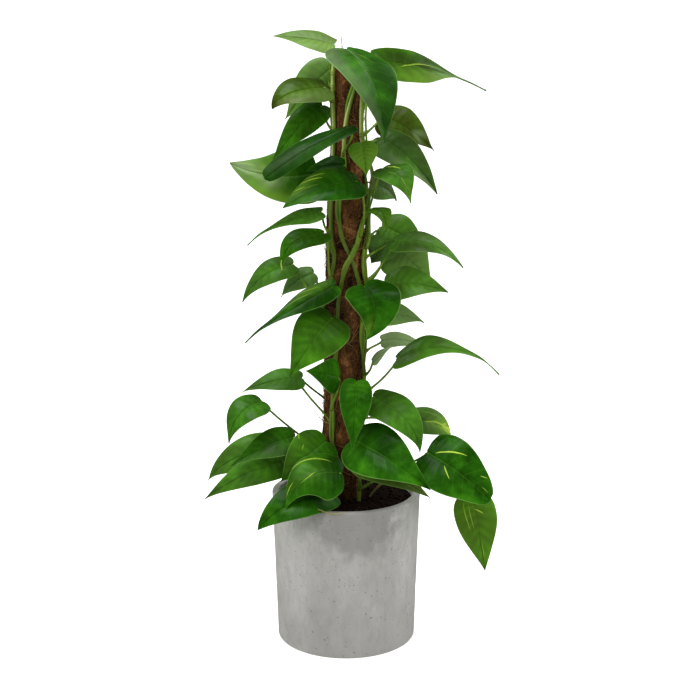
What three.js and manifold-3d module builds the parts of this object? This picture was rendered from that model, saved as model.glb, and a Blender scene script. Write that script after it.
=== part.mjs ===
// Golden pothos grown up a coir pole, in a round concrete pot.
// Millimetres, +Z up, front towards -Y. The origin is the centre of the pot's underside.
import * as THREE from "three";
import { mergeVertices } from "three/addons/utils/BufferGeometryUtils.js";
import Module from "manifold-3d";

const wasm = await Module();
wasm.setup();

const GAP = 0.3; // air between pieces that touch

// Pot
const POT_HEIGHT = 204;
const POT_RIM_RADIUS = 100;
const POT_BASE_RADIUS = 93.4;
const POT_WALL = 9.7;
const POT_FLOOR = 14;
const POT_EDGE = 1.8;
const POT_SIDES = 48;

// Soil
const SOIL_EDGE_Z = 192;
const SOIL_CROWN_Z = 197;

// Coir pole: a wooden core with a sleeve of coir round it, leaning a little to the right
const POLE_TOP_Z = 784;
const POLE_RADIUS = 25;
const POLE_TOP_RADIUS = 16;
const POLE_TAPER_Z = 560;
const POLE_AXIS_X = -5; // at POLE_AXIS_Z
const POLE_AXIS_Z = 300;
const POLE_LEAN = 0.0186; // sideways for each millimetre of height
const SLEEVE_BOTTOM_Z = 40;
const CORE_RADIUS = 9;
const POLE_SIDES = 20;

// Climbing stems
const STEM_RADIUS = 3.2;
const STEM_CLEARANCE = 0.5;
const STEM_FOOT_Z = 164;

// Leaves
const BLADE_THICKNESS = 0.8;
const PETIOLE_RADIUS = 1.6;
const STALK_SINK = 0.4; // how much of a stalk's radius its root sinks towards the stem
const STALK_LEAVE = 0.35; // reach of the stalk's bend at the stem, as a share of its length
const STALK_ARRIVE = 0.3; // the same where it meets the blade
const STALK_OVERLAP = 0.03; // how far it runs on along the midrib
const BASE_FOLD = 0.25; // share of the fold that is left at the stalk
const FOLD_FROM = -0.05; // where the blade starts to fold along the midrib
const FOLD_FULL = 0.35; // where it is folded as far as it goes
const VEIN_SWEEP = 1.15; // how the rows bend forward from midrib to edge
const WAVE = 0.02; // ripple of the edge, as a share of the width
const CURL_FROM = 0.8; // where a drip tip starts to bend down, along the blade
const CUP = 0.24; // how far the edges drop back, as a share of the half width
const TIP_WIDTH = 1.2;

// Blade outline from the notch at the stalk to the tip: along the blade, and half width,
// both as shares of the blade's length and of its half width.
const OUTLINE = [
  [-0.02, 0.1], [-0.035, 0.4], [-0.01, 0.74], [0.12, 0.97], [0.31, 0.97],
  [0.52, 0.8], [0.7, 0.53], [0.86, 0.23], [1.0, 0.0],
];
// Where each row's side vein leaves the midrib.
const MIDRIB = [0.0, 0.015, 0.04, 0.1, 0.21, 0.35, 0.52, 0.75, 1.0];
const ROW_STEPS = OUTLINE.length - 1;
const LOBE_ROWS = 2; // rows of the two lobes beside the notch
const END_ROWS = 0.4; // length of the blade's two ends, in rows, that take a normal from inside
const ACROSS = [-1, -0.55, 0, 0.55, 1];

// Stem routes up the pole from the soil: height, compass angle round the pole from the
// front (right is positive), and how far the stem stands off its seat on the coir.
const STEMS = {
  left: [[164, -65, 4], [205, -65, 4], [253, -85, 1], [288, -130, 0], [342, -140, 0],
    [416, -118, 0], [440, -100, 0], [470, -60, 0], [519, -30, 0], [554, -41, 0], [620, -45, 0],
    [687, -48, 0], [735, -64, 0], [774, -73, 0]],
  centre: [[164, 45, 5], [205, 45, 5], [250, 55, 1], [300, 70, 0], [356, 76, 0],
    [410, 56, 0], [469, 52, 0], [502, 32, 0], [525, 14, 0], [547, -7, 0],
    [567, -16, 0], [592, -25, 0], [650, -12, 0], [700, -5, 0], [745, 23, 0], [770, 30, 0]],
  right: [[164, -16, 8], [205, -16, 8], [253, -11, 4], [288, -31, 0], [342, -27, 0],
    [416, -18, 0], [456, -17, 0], [482, -12, 0], [509, 0, 5], [525, 12, 8.2],
    [547, 34, 1.5], [567, 50, 0], [592, 68, 2], [612, 72, 6], [634, 72, 8],
    [675, 49, 0], [724, 51, 0], [772, 75, 0]],
  back: [[164, 150, 4], [205, 150, 4], [250, 150, 0], [300, 140, 0], [356, 120, 0],
    [410, 97, 0], [469, 78, 0], [505, 60, 0], [530, 57, 0], [548, 68, 0],
    [575, 88, 0], [600, 105, 0], [650, 130, 0], [742, 150, 0]],
};

// One leaf to a row: name, stem, height of its stalk on the stem, where the blade meets
// the stalk, the tip, width, how far the upper side leans from straight up, the compass
// angle that it leans towards, the arch of the midrib as a share of the length, options.
const LEAVES = [
  ["leaf_01", "left", 757, [-15, 4, 793], [-92, 10, 803], 43, 32, -10, 0.03, { full: 0.3 }],
  ["leaf_02", "centre", 748, [1, -40, 787], [47, -80, 675], 88, 70, 40, 0.17, {}],
  ["leaf_03", "right", 735, [42, -14, 772], [187, 88, 732], 62, 44, 0, 0.05,
    { drip: 0.8, tailFrom: 0.3, tailTo: 0.7, peak: 0.5 }],
  ["leaf_04", "left", 740, [-18, 26, 764], [-79, 32, 698], 54, 66, 0, 0.12, {}],
  ["leaf_05", "left", 722, [-26, -16, 740], [-91, -44, 714], 54, 40, 0, 0.18, { peak: 0.9 }],
  ["leaf_06", "left", 688, [-30, -4, 717], [-93, -34, 648], 42, 55, 0, 0.1, {}],
  ["leaf_07", "centre", 656, [5, -73, 694], [-99, -100, 633], 44, 5, 0, 0.03,
    { twist: -40, full: 0.7, drip: 0 }],
  ["leaf_08", "left", 606, [-39, 4, 630], [-150, 6, 643], 79, 60, 0, 0.06, { full: 0.15, sway: -0.12 }],
  ["leaf_09", "right", 552, [15, -67, 627], [-77, -104, 598], 55, 44, 0, 0.11, { full: 0.3, climb: 0.9 }],
  ["leaf_10", "centre", 612, [-2, -37, 644], [-50, -38, 637], 31, 45, 0, 0.08, {}],
  ["leaf_11", "left", 557, [-32, -4, 581], [-128, -8, 541], 42, 26, -10, 0.07, { drip: 0.75, curl: 0.03 }],
  ["leaf_12", "left", 500, [-28, -45, 559], [-81, -60, 514], 38, 35, 0, 0.36, { peak: 0.72, climb: 2 }],
  ["leaf_13", "left", 459, [-70, 20, 509], [-137, 16, 459], 40, 45, 0, 0.24, {}],
  ["leaf_14", "left", 440, [-43, 28, 496], [-87, 32, 463], 34, 45, 0, 0.15, {}],
  ["leaf_15", "left", 470, [-15, -50, 492], [-129, -60, 424], 46, 25, 0, 0.02, { drip: 0.5, curl: 0.03 }],
  ["leaf_16", "right", 380, [-17, -52, 452], [-71, -80, 381], 72, 65, -8, 0.1, { climb: 2 }],
  ["leaf_17", "left", 323, [-59, 4, 358], [-139, -2, 340], 40, 34, 0, 0.09, {}],
  ["leaf_18", "left", 262, [-111, -22, 333], [-154, -38, 280], 46, 42, -10, 0.34, {}],
  ["leaf_19", "left", 245, [-84, 16, 260], [-188, 12, 213], 58, 45, 0, 0.22, { peak: 0.6 }],
  ["leaf_20", "right", 271, [-68, -22, 284], [-151, -44, 251], 44, 48, 0, 0.12, {}],
  ["leaf_21", "left", 222, [-83, -14, 248], [-187, -38, 203], 48, 45, 0, 0.12, {}],
  ["leaf_22", "right", 226, [-26, -36, 282], [-86, -44, 229], 62, 60, 0, 0.16, { climb: 2 }],
  ["leaf_23", "right", 240, [-6, -80, 252], [-77, -108, 215], 71, 56, -15, 0.12, { sway: 0.18, fold: -6 }],
  ["leaf_24", "right", 203, [-21, -60, 221], [-113, -106, 184], 58, 42, 0, 0.2, { peak: 0.7, full: 0.2 }],
  ["leaf_25", "right", 585, [20, -56, 673], [26, -66, 634], 37, 75, 0, 0.1, { climb: 2, notch: 1.5 }],
  ["leaf_26", "right", 575, [47, -42, 641], [81, -64, 599], 52, 48, 25, 0.26, { climb: 2 }],
  ["leaf_27", "right", 668, [44, 6, 676], [117, -12, 605], 56, 45, 10, 0.12, { hug: 0.3 }],
  ["leaf_28", "right", 680, [48, 40, 701], [116, 42, 656], 60, 48, 0, 0.1, { peak: 0.5, drip: 0.3 }],
  ["leaf_29", "back", 602, [34, 14, 616], [66, 26, 592], 52, 35, 0, 0.15, { notch: 1.3 }],
  ["leaf_30", "back", 536, [32, -28, 588], [51, -48, 561], 36, 40, 30, 0.34, { climb: 0.9 }],
  ["leaf_31", "back", 548, [48, 58, 555], [108, 64, 512], 58, 50, 0, 0.15, {}],
  ["leaf_32", "back", 493, [63, -10, 543], [151, -24, 511], 46, 28, 0, 0.18, {}],
  ["leaf_33", "back", 523, [52, 7, 542], [33, 8, 512], 42, 75, 0, 0.12, { hug: 0.4 }],
  ["leaf_34", "back", 488, [62, 26, 530], [113, 20, 486], 70, 62, 0, 0.12, {}],
  ["leaf_35", "centre", 469, [51, -20, 489], [131, -40, 482], 58, 45, 0, 0.12, {}],
  ["leaf_36", "centre", 440, [23, -60, 494], [25, -88, 428], 72, 72, 15, 0.14,
    { sway: -0.14, climb: 1.3, fold: 28, notch: 1.5 }],
  ["leaf_37", "centre", 429, [43, -8, 449], [102, -14, 437], 42, 40, 0, 0.1, {}],
  ["leaf_38", "back", 394, [48, 26, 405], [107, 36, 392], 32, 30, 0, 0.12, {}],
  ["leaf_39", "centre", 342, [67, -20, 391], [199, -40, 381], 58, 24, 0, 0.19,
    { drip: 0.6, peak: 0.42, curl: 0.06 }],
  ["leaf_40", "centre", 366, [35, -26, 387], [61, -32, 410], 18, 30, 0, 0.05, {}],
  ["leaf_41", "right", 323, [-9, -53, 372], [-51, -76, 387], 46, 65, 0, 0.1, { climb: 1.0 }],
  ["leaf_42", "centre", 322, [14, -62, 370], [8, -90, 288], 42, 80, 0, 0.1, { climb: 1.5 }],
  ["leaf_43", "centre", 306, [35, -38, 343], [96, -68, 277], 58, 45, 20, 0.25, { peak: 0.65 }],
  ["leaf_44", "back", 292, [81, 18, 300], [142, 8, 275], 44, 45, 0, 0.24, { peak: 0.75 }],
  ["leaf_45", "centre", 270, [10, -68, 293], [107, -112, 240], 76, 55, 0, 0.12, {}],
  ["leaf_46", "centre", 212, [16, -62, 262], [108, -98, 225], 44, 40, 0, 0.08, {}],
  ["leaf_47", "centre", 213, [106, -46, 270], [188, -70, 212], 83, 65, 20, 0.1, { full: 0.6 }],
  ["leaf_48", "back", 225, [168, -30, 203], [186, -44, 104], 57, 75, 0, 0.1, {}],
  ["leaf_49", "back", 705, [13, 44, 760], [35, 80, 707], 52, 62, 170, 0.14, {}],
  ["leaf_50", "back", 622, [-11, 48, 628], [-52, 92, 597], 56, 60, -150, 0.14, {}],
  ["leaf_51", "back", 432, [-22, 50, 425], [-56, 96, 373], 60, 62, -160, 0.14, {}],
  ["leaf_52", "back", 290, [-20, 52, 258], [-59, 98, 200], 64, 60, -155, 0.14, {}],
];

const degrees = (d) => (d * Math.PI) / 180;

// A point of a uniform Catmull-Rom curve through rows of numbers.
function curveThrough(rows, at) {
  const i = Math.min(rows.length - 2, Math.floor(at));
  const t = at - i;
  const p1 = rows[i];
  const p2 = rows[i + 1];
  const p0 = i > 0 ? rows[i - 1] : p1.map((v, k) => 2 * v - p2[k]);
  const p3 = i + 2 < rows.length ? rows[i + 2] : p2.map((v, k) => 2 * v - p1[k]);
  return p1.map((v, k) => {
    const slope1 = (p2[k] - p0[k]) / 2;
    const slope2 = (p3[k] - v) / 2;
    const rise = p2[k] - v;
    return v + t * (slope1 + t * (3 * rise - 2 * slope1 - slope2 + t * (slope1 + slope2 - 2 * rise)));
  });
}

function poleAxisX(z) {
  return POLE_AXIS_X + (z - POLE_AXIS_Z) * POLE_LEAN;
}

function poleRadius(z) {
  const up = Math.max(0, (z - POLE_TAPER_Z) / (POLE_TOP_Z - POLE_TAPER_Z));
  return POLE_RADIUS + (POLE_TOP_RADIUS - POLE_RADIUS) * up;
}

// A geometry as a manifold-3d solid.
function solidOf(geometry) {
  const bare = geometry.index ? geometry.toNonIndexed() : geometry.clone();
  bare.deleteAttribute("normal");
  bare.deleteAttribute("uv");
  const merged = mergeVertices(bare, 1e-3);
  const corners = merged.index.array;
  const kept = [];
  for (let i = 0; i < corners.length; i += 3) {
    const [a, b, c] = [corners[i], corners[i + 1], corners[i + 2]];
    if (a !== b && b !== c && c !== a) kept.push(a, b, c);
  }
  return new wasm.Manifold(new wasm.Mesh({
    numProp: 3,
    vertProperties: merged.attributes.position.array,
    triVerts: new Uint32Array(kept),
  }));
}

function geometryOf(solid) {
  const mesh = solid.getMesh();
  const geometry = new THREE.BufferGeometry();
  geometry.setAttribute("position", new THREE.BufferAttribute(mesh.vertProperties, 3));
  geometry.setIndex(new THREE.BufferAttribute(mesh.triVerts, 1));
  geometry.computeVertexNormals();
  return geometry;
}

function roundShape(radius, sides) {
  const points = [];
  for (let i = 0; i < sides; i++) {
    const turn = (2 * Math.PI * i) / sides;
    points.push(new THREE.Vector2(radius * Math.cos(turn), radius * Math.sin(turn)));
  }
  return new THREE.Shape(points);
}

function tube(path, radius, sides, steps) {
  return solidOf(new THREE.ExtrudeGeometry(roundShape(radius, sides), {
    steps,
    bevelEnabled: false,
    extrudePath: path,
  }));
}

// A turned solid whose profile of [radius, height] pairs runs up the outside.
function turned(profile, sides) {
  const points = profile.map(([r, z]) => new THREE.Vector2(r, z));
  const lathe = new THREE.LatheGeometry(points, sides);
  lathe.rotateX(Math.PI / 2);
  return solidOf(lathe);
}

// Leans an upright solid along the pole's axis.
function leaned(solid) {
  return solid.warp((v) => {
    v[0] += poleAxisX(v[2]);
  });
}

function pot() {
  const inner = POT_RIM_RADIUS - POT_WALL;
  const innerBase = POT_BASE_RADIUS - POT_WALL;
  return turned([
    [0, 0], [POT_BASE_RADIUS - POT_EDGE, 0], [POT_BASE_RADIUS, POT_EDGE],
    [POT_RIM_RADIUS, POT_HEIGHT - POT_EDGE], [POT_RIM_RADIUS - POT_EDGE, POT_HEIGHT],
    [inner + POT_EDGE, POT_HEIGHT], [inner, POT_HEIGHT - POT_EDGE],
    [innerBase, POT_FLOOR], [0, POT_FLOOR],
  ], POT_SIDES);
}

function soilWallRadius(z) {
  const innerBase = POT_BASE_RADIUS - POT_WALL;
  const inner = POT_RIM_RADIUS - POT_WALL;
  const up = (z - POT_FLOOR) / (POT_HEIGHT - POT_EDGE - POT_FLOOR);
  return innerBase + (inner - innerBase) * up - 2 * GAP;
}

function soil(stemSolids) {
  const foot = POT_FLOOR + GAP;
  let block = turned([
    [0, foot], [soilWallRadius(foot), foot], [soilWallRadius(SOIL_EDGE_Z), SOIL_EDGE_Z],
    [72, SOIL_EDGE_Z + 2.5], [48, SOIL_CROWN_Z - 1], [24, SOIL_CROWN_Z], [0, SOIL_CROWN_Z],
  ], POT_SIDES);
  const sleeveHole = turned([
    [0, SLEEVE_BOTTOM_Z - GAP], [POLE_RADIUS + GAP, SLEEVE_BOTTOM_Z - GAP],
    [POLE_RADIUS + GAP, SOIL_CROWN_Z + 10], [0, SOIL_CROWN_Z + 10],
  ], POLE_SIDES);
  const coreHole = turned([
    [0, foot - 1], [CORE_RADIUS + GAP, foot - 1],
    [CORE_RADIUS + GAP, SLEEVE_BOTTOM_Z + 5], [0, SLEEVE_BOTTOM_Z + 5],
  ], 12);
  block = block.subtract(leaned(sleeveHole.add(coreHole)));
  for (const name of Object.keys(STEMS)) {
    const at = stemPoint(name, STEM_FOOT_Z);
    const radius = STEM_RADIUS + GAP;
    const foot = STEM_FOOT_Z - GAP;
    const hole = turned([
      [0, foot], [radius, foot], [radius, SOIL_CROWN_Z + 10], [0, SOIL_CROWN_Z + 10],
    ], 10);
    block = block.subtract(hole.translate(at.x, at.y, 0));
  }
  return block;
}

function sleeve() {
  const profile = [[CORE_RADIUS + GAP, SLEEVE_BOTTOM_Z]];
  const rings = 8;
  for (let i = 0; i <= rings; i++) {
    const z = SLEEVE_BOTTOM_Z + ((POLE_TOP_Z - SLEEVE_BOTTOM_Z) * i) / rings;
    profile.push([poleRadius(z), z]);
  }
  profile.push([CORE_RADIUS + GAP, POLE_TOP_Z], [CORE_RADIUS + GAP, SLEEVE_BOTTOM_Z]);
  return leaned(turned(profile, POLE_SIDES));
}

function core() {
  return leaned(turned([
    [0, POT_FLOOR + 2 * GAP], [CORE_RADIUS, POT_FLOOR + 2 * GAP],
    [CORE_RADIUS, POLE_TOP_Z - 4], [0, POLE_TOP_Z - 4],
  ], 12));
}

function stemPoint(name, z) {
  const route = STEMS[name];
  const seat = Math.max(z, POT_HEIGHT);
  let row = 0;
  while (row < route.length - 2 && route[row + 1][0] < seat) row++;
  let low = row;
  let high = row + 1;
  for (let i = 0; i < 30; i++) {
    const mid = (low + high) / 2;
    if (curveThrough(route, mid)[0] < seat) low = mid;
    else high = mid;
  }
  const [, angle, lift] = curveThrough(route, low);
  const reach = poleRadius(z) + STEM_CLEARANCE + STEM_RADIUS + Math.max(0, lift);
  const turn = degrees(angle);
  return new THREE.Vector3(
    poleAxisX(seat) + reach * Math.sin(turn), -reach * Math.cos(turn), z);
}

function stem(name) {
  const route = STEMS[name];
  const foot = route[0][0];
  const tip = route[route.length - 1][0];
  const points = [];
  const steps = Math.round((tip - foot) / 20);
  for (let i = 0; i <= steps; i++) {
    points.push(stemPoint(name, foot + ((tip - foot) * i) / steps));
  }
  const path = new THREE.CatmullRomCurve3(points);
  return tube(path, STEM_RADIUS, 6, steps);
}

// The frame of a leaf's blade: its midrib curve, side direction and twist.
function bladeFrame(base, tip, lean, toward, arch, peak, sway) {
  const along = new THREE.Vector3().subVectors(tip, base);
  const length = along.length();
  along.normalize();
  const leaning = degrees(lean);
  const turn = degrees(toward);
  const up = new THREE.Vector3(
    Math.sin(leaning) * Math.sin(turn),
    -Math.sin(leaning) * Math.cos(turn),
    Math.cos(leaning),
  );
  up.addScaledVector(along, -up.dot(along)).normalize();
  const side = new THREE.Vector3().crossVectors(along, up);
  const crest = base.clone().addScaledVector(along, peak * length);
  crest.addScaledVector(up, 2 * arch * length).addScaledVector(side, 2 * sway * length);
  return { base, tip, crest, side, up, length };
}

// A point of the blade: row counts the side veins from the notch, across is -1 to 1.
function bladePoint(leaf, row, across) {
  const { frame, width, twist, drip, tailFrom, tailTo, full, fold, notch, curl, phase } = leaf;
  const [edgeAlong, edgeHalf] = curveThrough(OUTLINE, row);
  const [rib] = curveThrough(MIDRIB.map((v) => [v]), row);
  const out = Math.abs(across);
  const flat = rib + (edgeAlong - rib) * Math.pow(out, VEIN_SWEEP);
  const u = flat < 0 ? flat * notch : flat;
  const taper = THREE.MathUtils.smoothstep(u, tailFrom, tailTo);
  const narrow = 1 - drip * taper;
  const half = width / 2;
  const fuller = full * THREE.MathUtils.smoothstep(row, 0, LOBE_ROWS);
  const reach = half * Math.pow(Math.max(0, edgeHalf), 1 - fuller) * narrow;
  const y = across * Math.max(reach, TIP_WIDTH / 2);
  const away = Math.abs(y);
  const wave = WAVE * width * out * out * Math.sin(1.1 * row + phase + (across > 0 ? 1.9 : 0));
  const folded = BASE_FOLD + (1 - BASE_FOLD) * THREE.MathUtils.smoothstep(u, FOLD_FROM, FOLD_FULL);
  const rise = away * Math.tan(degrees(fold)) * folded;
  const lift = rise - (CUP * away * away) / half + wave;
  const clamped = Math.max(0, u);
  const point = new THREE.QuadraticBezierCurve3(frame.base, frame.crest, frame.tip)
    .getPoint(clamped);
  const tangent = new THREE.Vector3().subVectors(frame.crest, frame.base)
    .multiplyScalar(1 - clamped)
    .addScaledVector(new THREE.Vector3().subVectors(frame.tip, frame.crest), clamped);
  if (u < 0) point.addScaledVector(tangent, 2 * u);
  point.z -= curl * frame.length * Math.pow(Math.max(0, (u - CURL_FROM) / (1 - CURL_FROM)), 2);
  tangent.normalize();
  const side = frame.side.clone().applyAxisAngle(tangent, degrees(twist) * clamped);
  side.addScaledVector(tangent, -side.dot(tangent)).normalize();
  const up = new THREE.Vector3().crossVectors(side, tangent);
  return point.addScaledVector(side, y).addScaledVector(up, lift);
}

function bladeNormal(leaf, row, across) {
  const step = 0.02;
  // At the notch and at the tip the blade is too narrow to measure, so the row next to them is.
  const seat = THREE.MathUtils.clamp(row, END_ROWS, ROW_STEPS - END_ROWS);
  const r0 = seat - step;
  const r1 = seat + step;
  const a0 = Math.max(-1, across - step);
  const a1 = Math.min(1, across + step);
  const alongRow = bladePoint(leaf, r1, across).sub(bladePoint(leaf, r0, across));
  const acrossRow = bladePoint(leaf, seat, a1).sub(bladePoint(leaf, seat, a0));
  const normal = new THREE.Vector3().crossVectors(acrossRow, alongRow).normalize();
  // In the notch the rows run backwards from the midrib, which would turn it over.
  return normal.dot(leaf.frame.up) < 0 ? normal.negate() : normal;
}

// The blade as a closed plate: the same grid of triangles above and below, and a rim.
function blade(leaf) {
  const cells = ACROSS.length - 1;
  const grid = new THREE.PlaneGeometry(1, 1, cells, ROW_STEPS);
  const count = grid.attributes.position.count;
  const positions = [];
  for (const face of [0.5, -0.5]) {
    for (let i = 0; i < count; i++) {
      const across = ACROSS[i % (cells + 1)];
      const row = Math.floor(i / (cells + 1));
      const point = bladePoint(leaf, row, across);
      point.addScaledVector(bladeNormal(leaf, row, across), face * BLADE_THICKNESS);
      positions.push(point.x, point.y, point.z);
    }
  }
  const triangles = [];
  const corners = grid.index.array;
  for (let i = 0; i < corners.length; i += 3) {
    const [a, b, c] = [corners[i], corners[i + 1], corners[i + 2]];
    triangles.push(a, b, c, count + c, count + b, count + a);
  }
  const rim = [];
  for (let i = 0; i < cells; i++) rim.push(i);
  for (let i = 0; i < ROW_STEPS; i++) rim.push(cells + i * (cells + 1));
  for (let i = cells; i > 0; i--) rim.push(ROW_STEPS * (cells + 1) + i);
  for (let i = ROW_STEPS; i > 0; i--) rim.push(i * (cells + 1));
  for (let i = 0; i < rim.length; i++) {
    const a = rim[i];
    const b = rim[(i + 1) % rim.length];
    triangles.push(a, b, count + b, a, count + b, count + a);
  }
  const plate = new THREE.BufferGeometry();
  plate.setAttribute("position", new THREE.Float32BufferAttribute(positions, 3));
  plate.setIndex(triangles);
  const solid = solidOf(plate);
  return solid.volume() < 0 ? solidOf(flipped(plate)) : solid;
}

function flipped(geometry) {
  const turnedRound = geometry.clone();
  turnedRound.setIndex([...geometry.index.array].reverse());
  return turnedRound;
}

function petiole(stemName, z, leaf) {
  const { frame } = leaf;
  const root = stemPoint(stemName, z);
  const outward = new THREE.Vector3(root.x - poleAxisX(z), root.y, 0).normalize();
  const reach = frame.base.distanceTo(root);
  const toBase = new THREE.Vector3(frame.base.x - root.x, frame.base.y - root.y, 0).normalize();
  const leave = outward.multiplyScalar(leaf.hug).add(toBase).normalize();
  const start = root.clone().addScaledVector(leave, STEM_RADIUS + GAP + PETIOLE_RADIUS * STALK_SINK);
  const tangent = new THREE.Vector3().subVectors(frame.crest, frame.base).normalize();
  const rise = new THREE.Vector3(leave.x, leave.y, leaf.climb).normalize();
  const arrive = tangent.clone().add(new THREE.Vector3(0, 0, 1)).normalize();
  const end = frame.base.clone().addScaledVector(tangent, STALK_OVERLAP * frame.length);
  const path = new THREE.CubicBezierCurve3(
    start,
    start.clone().addScaledVector(rise, reach * STALK_LEAVE),
    end.clone().addScaledVector(arrive, -reach * STALK_ARRIVE),
    end,
  );
  return tube(path, PETIOLE_RADIUS, 4, 4);
}

function leafSolid(row, index) {
  const [, stemName, z, base, tip, width, lean, toward, arch, options] = row;
  const { peak = 0.5, sway = 0, twist = 0, drip = 0.15, full = 0, hug = 0.8, climb = 0.7,
    fold = 14, notch = 1, curl = 0 } = options;
  const { tailFrom = 0.35 - 0.25 * drip, tailTo = 0.85 - 0.2 * drip } = options;
  const frame = bladeFrame(new THREE.Vector3(...base), new THREE.Vector3(...tip),
    lean, toward, arch, peak, sway);
  const leaf = { frame, width, twist, drip, tailFrom, tailTo, full, hug, climb, fold, notch,
    curl, phase: 2.4 * index };
  return blade(leaf).add(petiole(stemName, z, leaf));
}

const CONCRETE = new THREE.MeshStandardMaterial({ color: 0xa9a9a4, roughness: 0.85 });
const EARTH = new THREE.MeshStandardMaterial({ color: 0x2a1d15, roughness: 0.95 });
const COIR = new THREE.MeshStandardMaterial({ color: 0x5a3a2a, roughness: 0.95 });
const WOOD = new THREE.MeshStandardMaterial({ color: 0xb08a5c, roughness: 0.7 });
const STEM = new THREE.MeshStandardMaterial({ color: 0x7d9a36, roughness: 0.5 });
const LEAF = new THREE.MeshStandardMaterial({ color: 0x2f6f1d, roughness: 0.35 });

function node(parent, name, solid, material) {
  const mesh = new THREE.Mesh(geometryOf(solid), material.clone());
  mesh.name = name;
  parent.add(mesh);
}

const plant = new THREE.Group();
const holder = new THREE.Group();
const foliage = new THREE.Group();
plant.add(holder, foliage);

node(holder, "pot", pot(), CONCRETE);
node(holder, "soil", soil(), EARTH);
node(holder, "pole_core", core(), WOOD);
node(holder, "coir_sleeve", sleeve(), COIR);
for (const name of Object.keys(STEMS)) node(foliage, "stem_" + name, stem(name), STEM);
LEAVES.forEach((row, index) => node(foliage, row[0], leafSolid(row, index), LEAF));

export default plant;
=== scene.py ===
"""A golden pothos on a coir pole in a concrete pot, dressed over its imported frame.

Everything stands in the part frame: +Z up, the front towards -Y, and the origin at the
centre of the pot's underside. Sizes are written in millimetres and turned to metres once,
where a mesh is made.
"""

import logging
import math
from dataclasses import dataclass, field
from enum import Enum
from typing import Sequence

import bmesh
import bpy
import numpy as np
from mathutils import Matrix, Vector, noise


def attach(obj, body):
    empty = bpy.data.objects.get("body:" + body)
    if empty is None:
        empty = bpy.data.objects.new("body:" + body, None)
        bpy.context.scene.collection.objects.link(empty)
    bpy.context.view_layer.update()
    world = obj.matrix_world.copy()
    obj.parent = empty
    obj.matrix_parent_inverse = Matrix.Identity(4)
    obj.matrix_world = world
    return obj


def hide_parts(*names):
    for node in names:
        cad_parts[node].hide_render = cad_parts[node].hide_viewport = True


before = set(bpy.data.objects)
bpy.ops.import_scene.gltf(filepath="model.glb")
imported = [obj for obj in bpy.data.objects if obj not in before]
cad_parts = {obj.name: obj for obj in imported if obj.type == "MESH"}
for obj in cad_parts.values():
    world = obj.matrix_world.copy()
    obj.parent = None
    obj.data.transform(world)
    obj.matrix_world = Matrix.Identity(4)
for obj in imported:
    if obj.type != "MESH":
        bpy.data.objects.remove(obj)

Array = np.ndarray
Material = bpy.types.Material
Mesh = bmesh.types.BMesh
Socket = bpy.types.NodeSocket
Tree = bpy.types.NodeTree

LOG = logging.getLogger("pothos")
MM = 0.001
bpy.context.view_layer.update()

# The blade's outline from the notch at the stalk to the tip: along the blade, and half
# width, both as shares of the blade's length and of its half width.
OUTLINE = np.array([
    [-0.02, 0.1], [-0.035, 0.4], [-0.01, 0.74], [0.12, 0.97], [0.31, 0.97],
    [0.52, 0.8], [0.7, 0.53], [0.86, 0.23], [1.0, 0.0],
])
# Where the side vein of each row leaves the midrib.
MIDRIB = np.array([[0.0], [0.015], [0.04], [0.1], [0.21], [0.35], [0.52], [0.75], [1.0]])
LAST_ROW = len(OUTLINE) - 1
# The blade folds along its midrib: this share of the fold is there at the stalk, and it
# grows between these two places along the blade.
BASE_FOLD = 0.25
FOLD_FROM, FOLD_FULL = -0.05, 0.35
# How the rows bend forward from midrib to edge, and how much the edge ripples.
VEIN_SWEEP = 1.15
WAVE = 0.02
# Where a drip tip starts to bend down, along the blade.
CURL_FROM = 0.8
# Rows of the two lobes beside the notch, and of the ends that take a normal from inside.
LOBE_ROWS = 2.0
END_ROWS = 0.4
# Rows from one side vein to the next.
VEIN_SPACING = 0.72
# The blade's half width is never less than this, in millimetres, not even at its tip.
LEAST_REACH = 0.6
# How deep and wide the groove over the midrib is, and the ridge under it, in millimetres.
GROOVE_DEPTH, GROOVE_WIDTH = 0.75, 1.3
RIDGE_HEIGHT, RIDGE_WIDTH = 1.1, 1.2
# How high the quilting and the slow waves stand, as shares of the blade's width.
QUILT, SLOW_WAVE = 0.006, 0.026
# The stalk's radius, with what its foot and its knee add, and the sheath's, in millimetres.
STALK_RADIUS, FOOT_SWELL, KNEE_SWELL = 1.5, 0.8, 0.45
SHEATH_RADIUS = 2.1
# The shortest sheath, how much longer others are, and how far it stands beside the stem.
SHEATH_LENGTH, SHEATH_SPREAD, SHEATH_APART = 26.0, 30.0, 3.9
# The golden ratio spreads the sheaths' lengths over the leaves without repeats.
GOLDEN = 0.618
# How yellow the flecks make every blade.
BASE_YELLOW = 0.22
# No stem, stalk or fibre runs this way, so their cross-sections are turned from it.
ASKEW = (0.31, 0.17, 0.93)
# Vertices nearer than this, in metres, are welded.
WELD = 1e-6
# A leaf's stalk has a sheath down its stem only where it leaves above this, in millimetres.
SHEATH_FROM = 262.0


class Slot(Enum):
    """The record's material slots."""

    CONCRETE = "concrete"
    SOIL = "soil"
    POLE_WOOD = "pole_wood"
    COIR = "coir"
    STEM = "stem"
    LEAF = "leaf"


def linear(code: str) -> tuple[float, float, float, float]:
    """Turns an sRGB hex colour to linear light.

    Args:
        code: The colour as six hex digits.

    Returns:
        Linear red, green and blue, and an alpha of 1.
    """
    shares = [int(code[i:i + 2], 16) / 255 for i in (0, 2, 4)]
    light = [s / 12.92 if s <= 0.04045 else ((s + 0.055) / 1.055) ** 2.4 for s in shares]
    return (light[0], light[1], light[2], 1.0)


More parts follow.
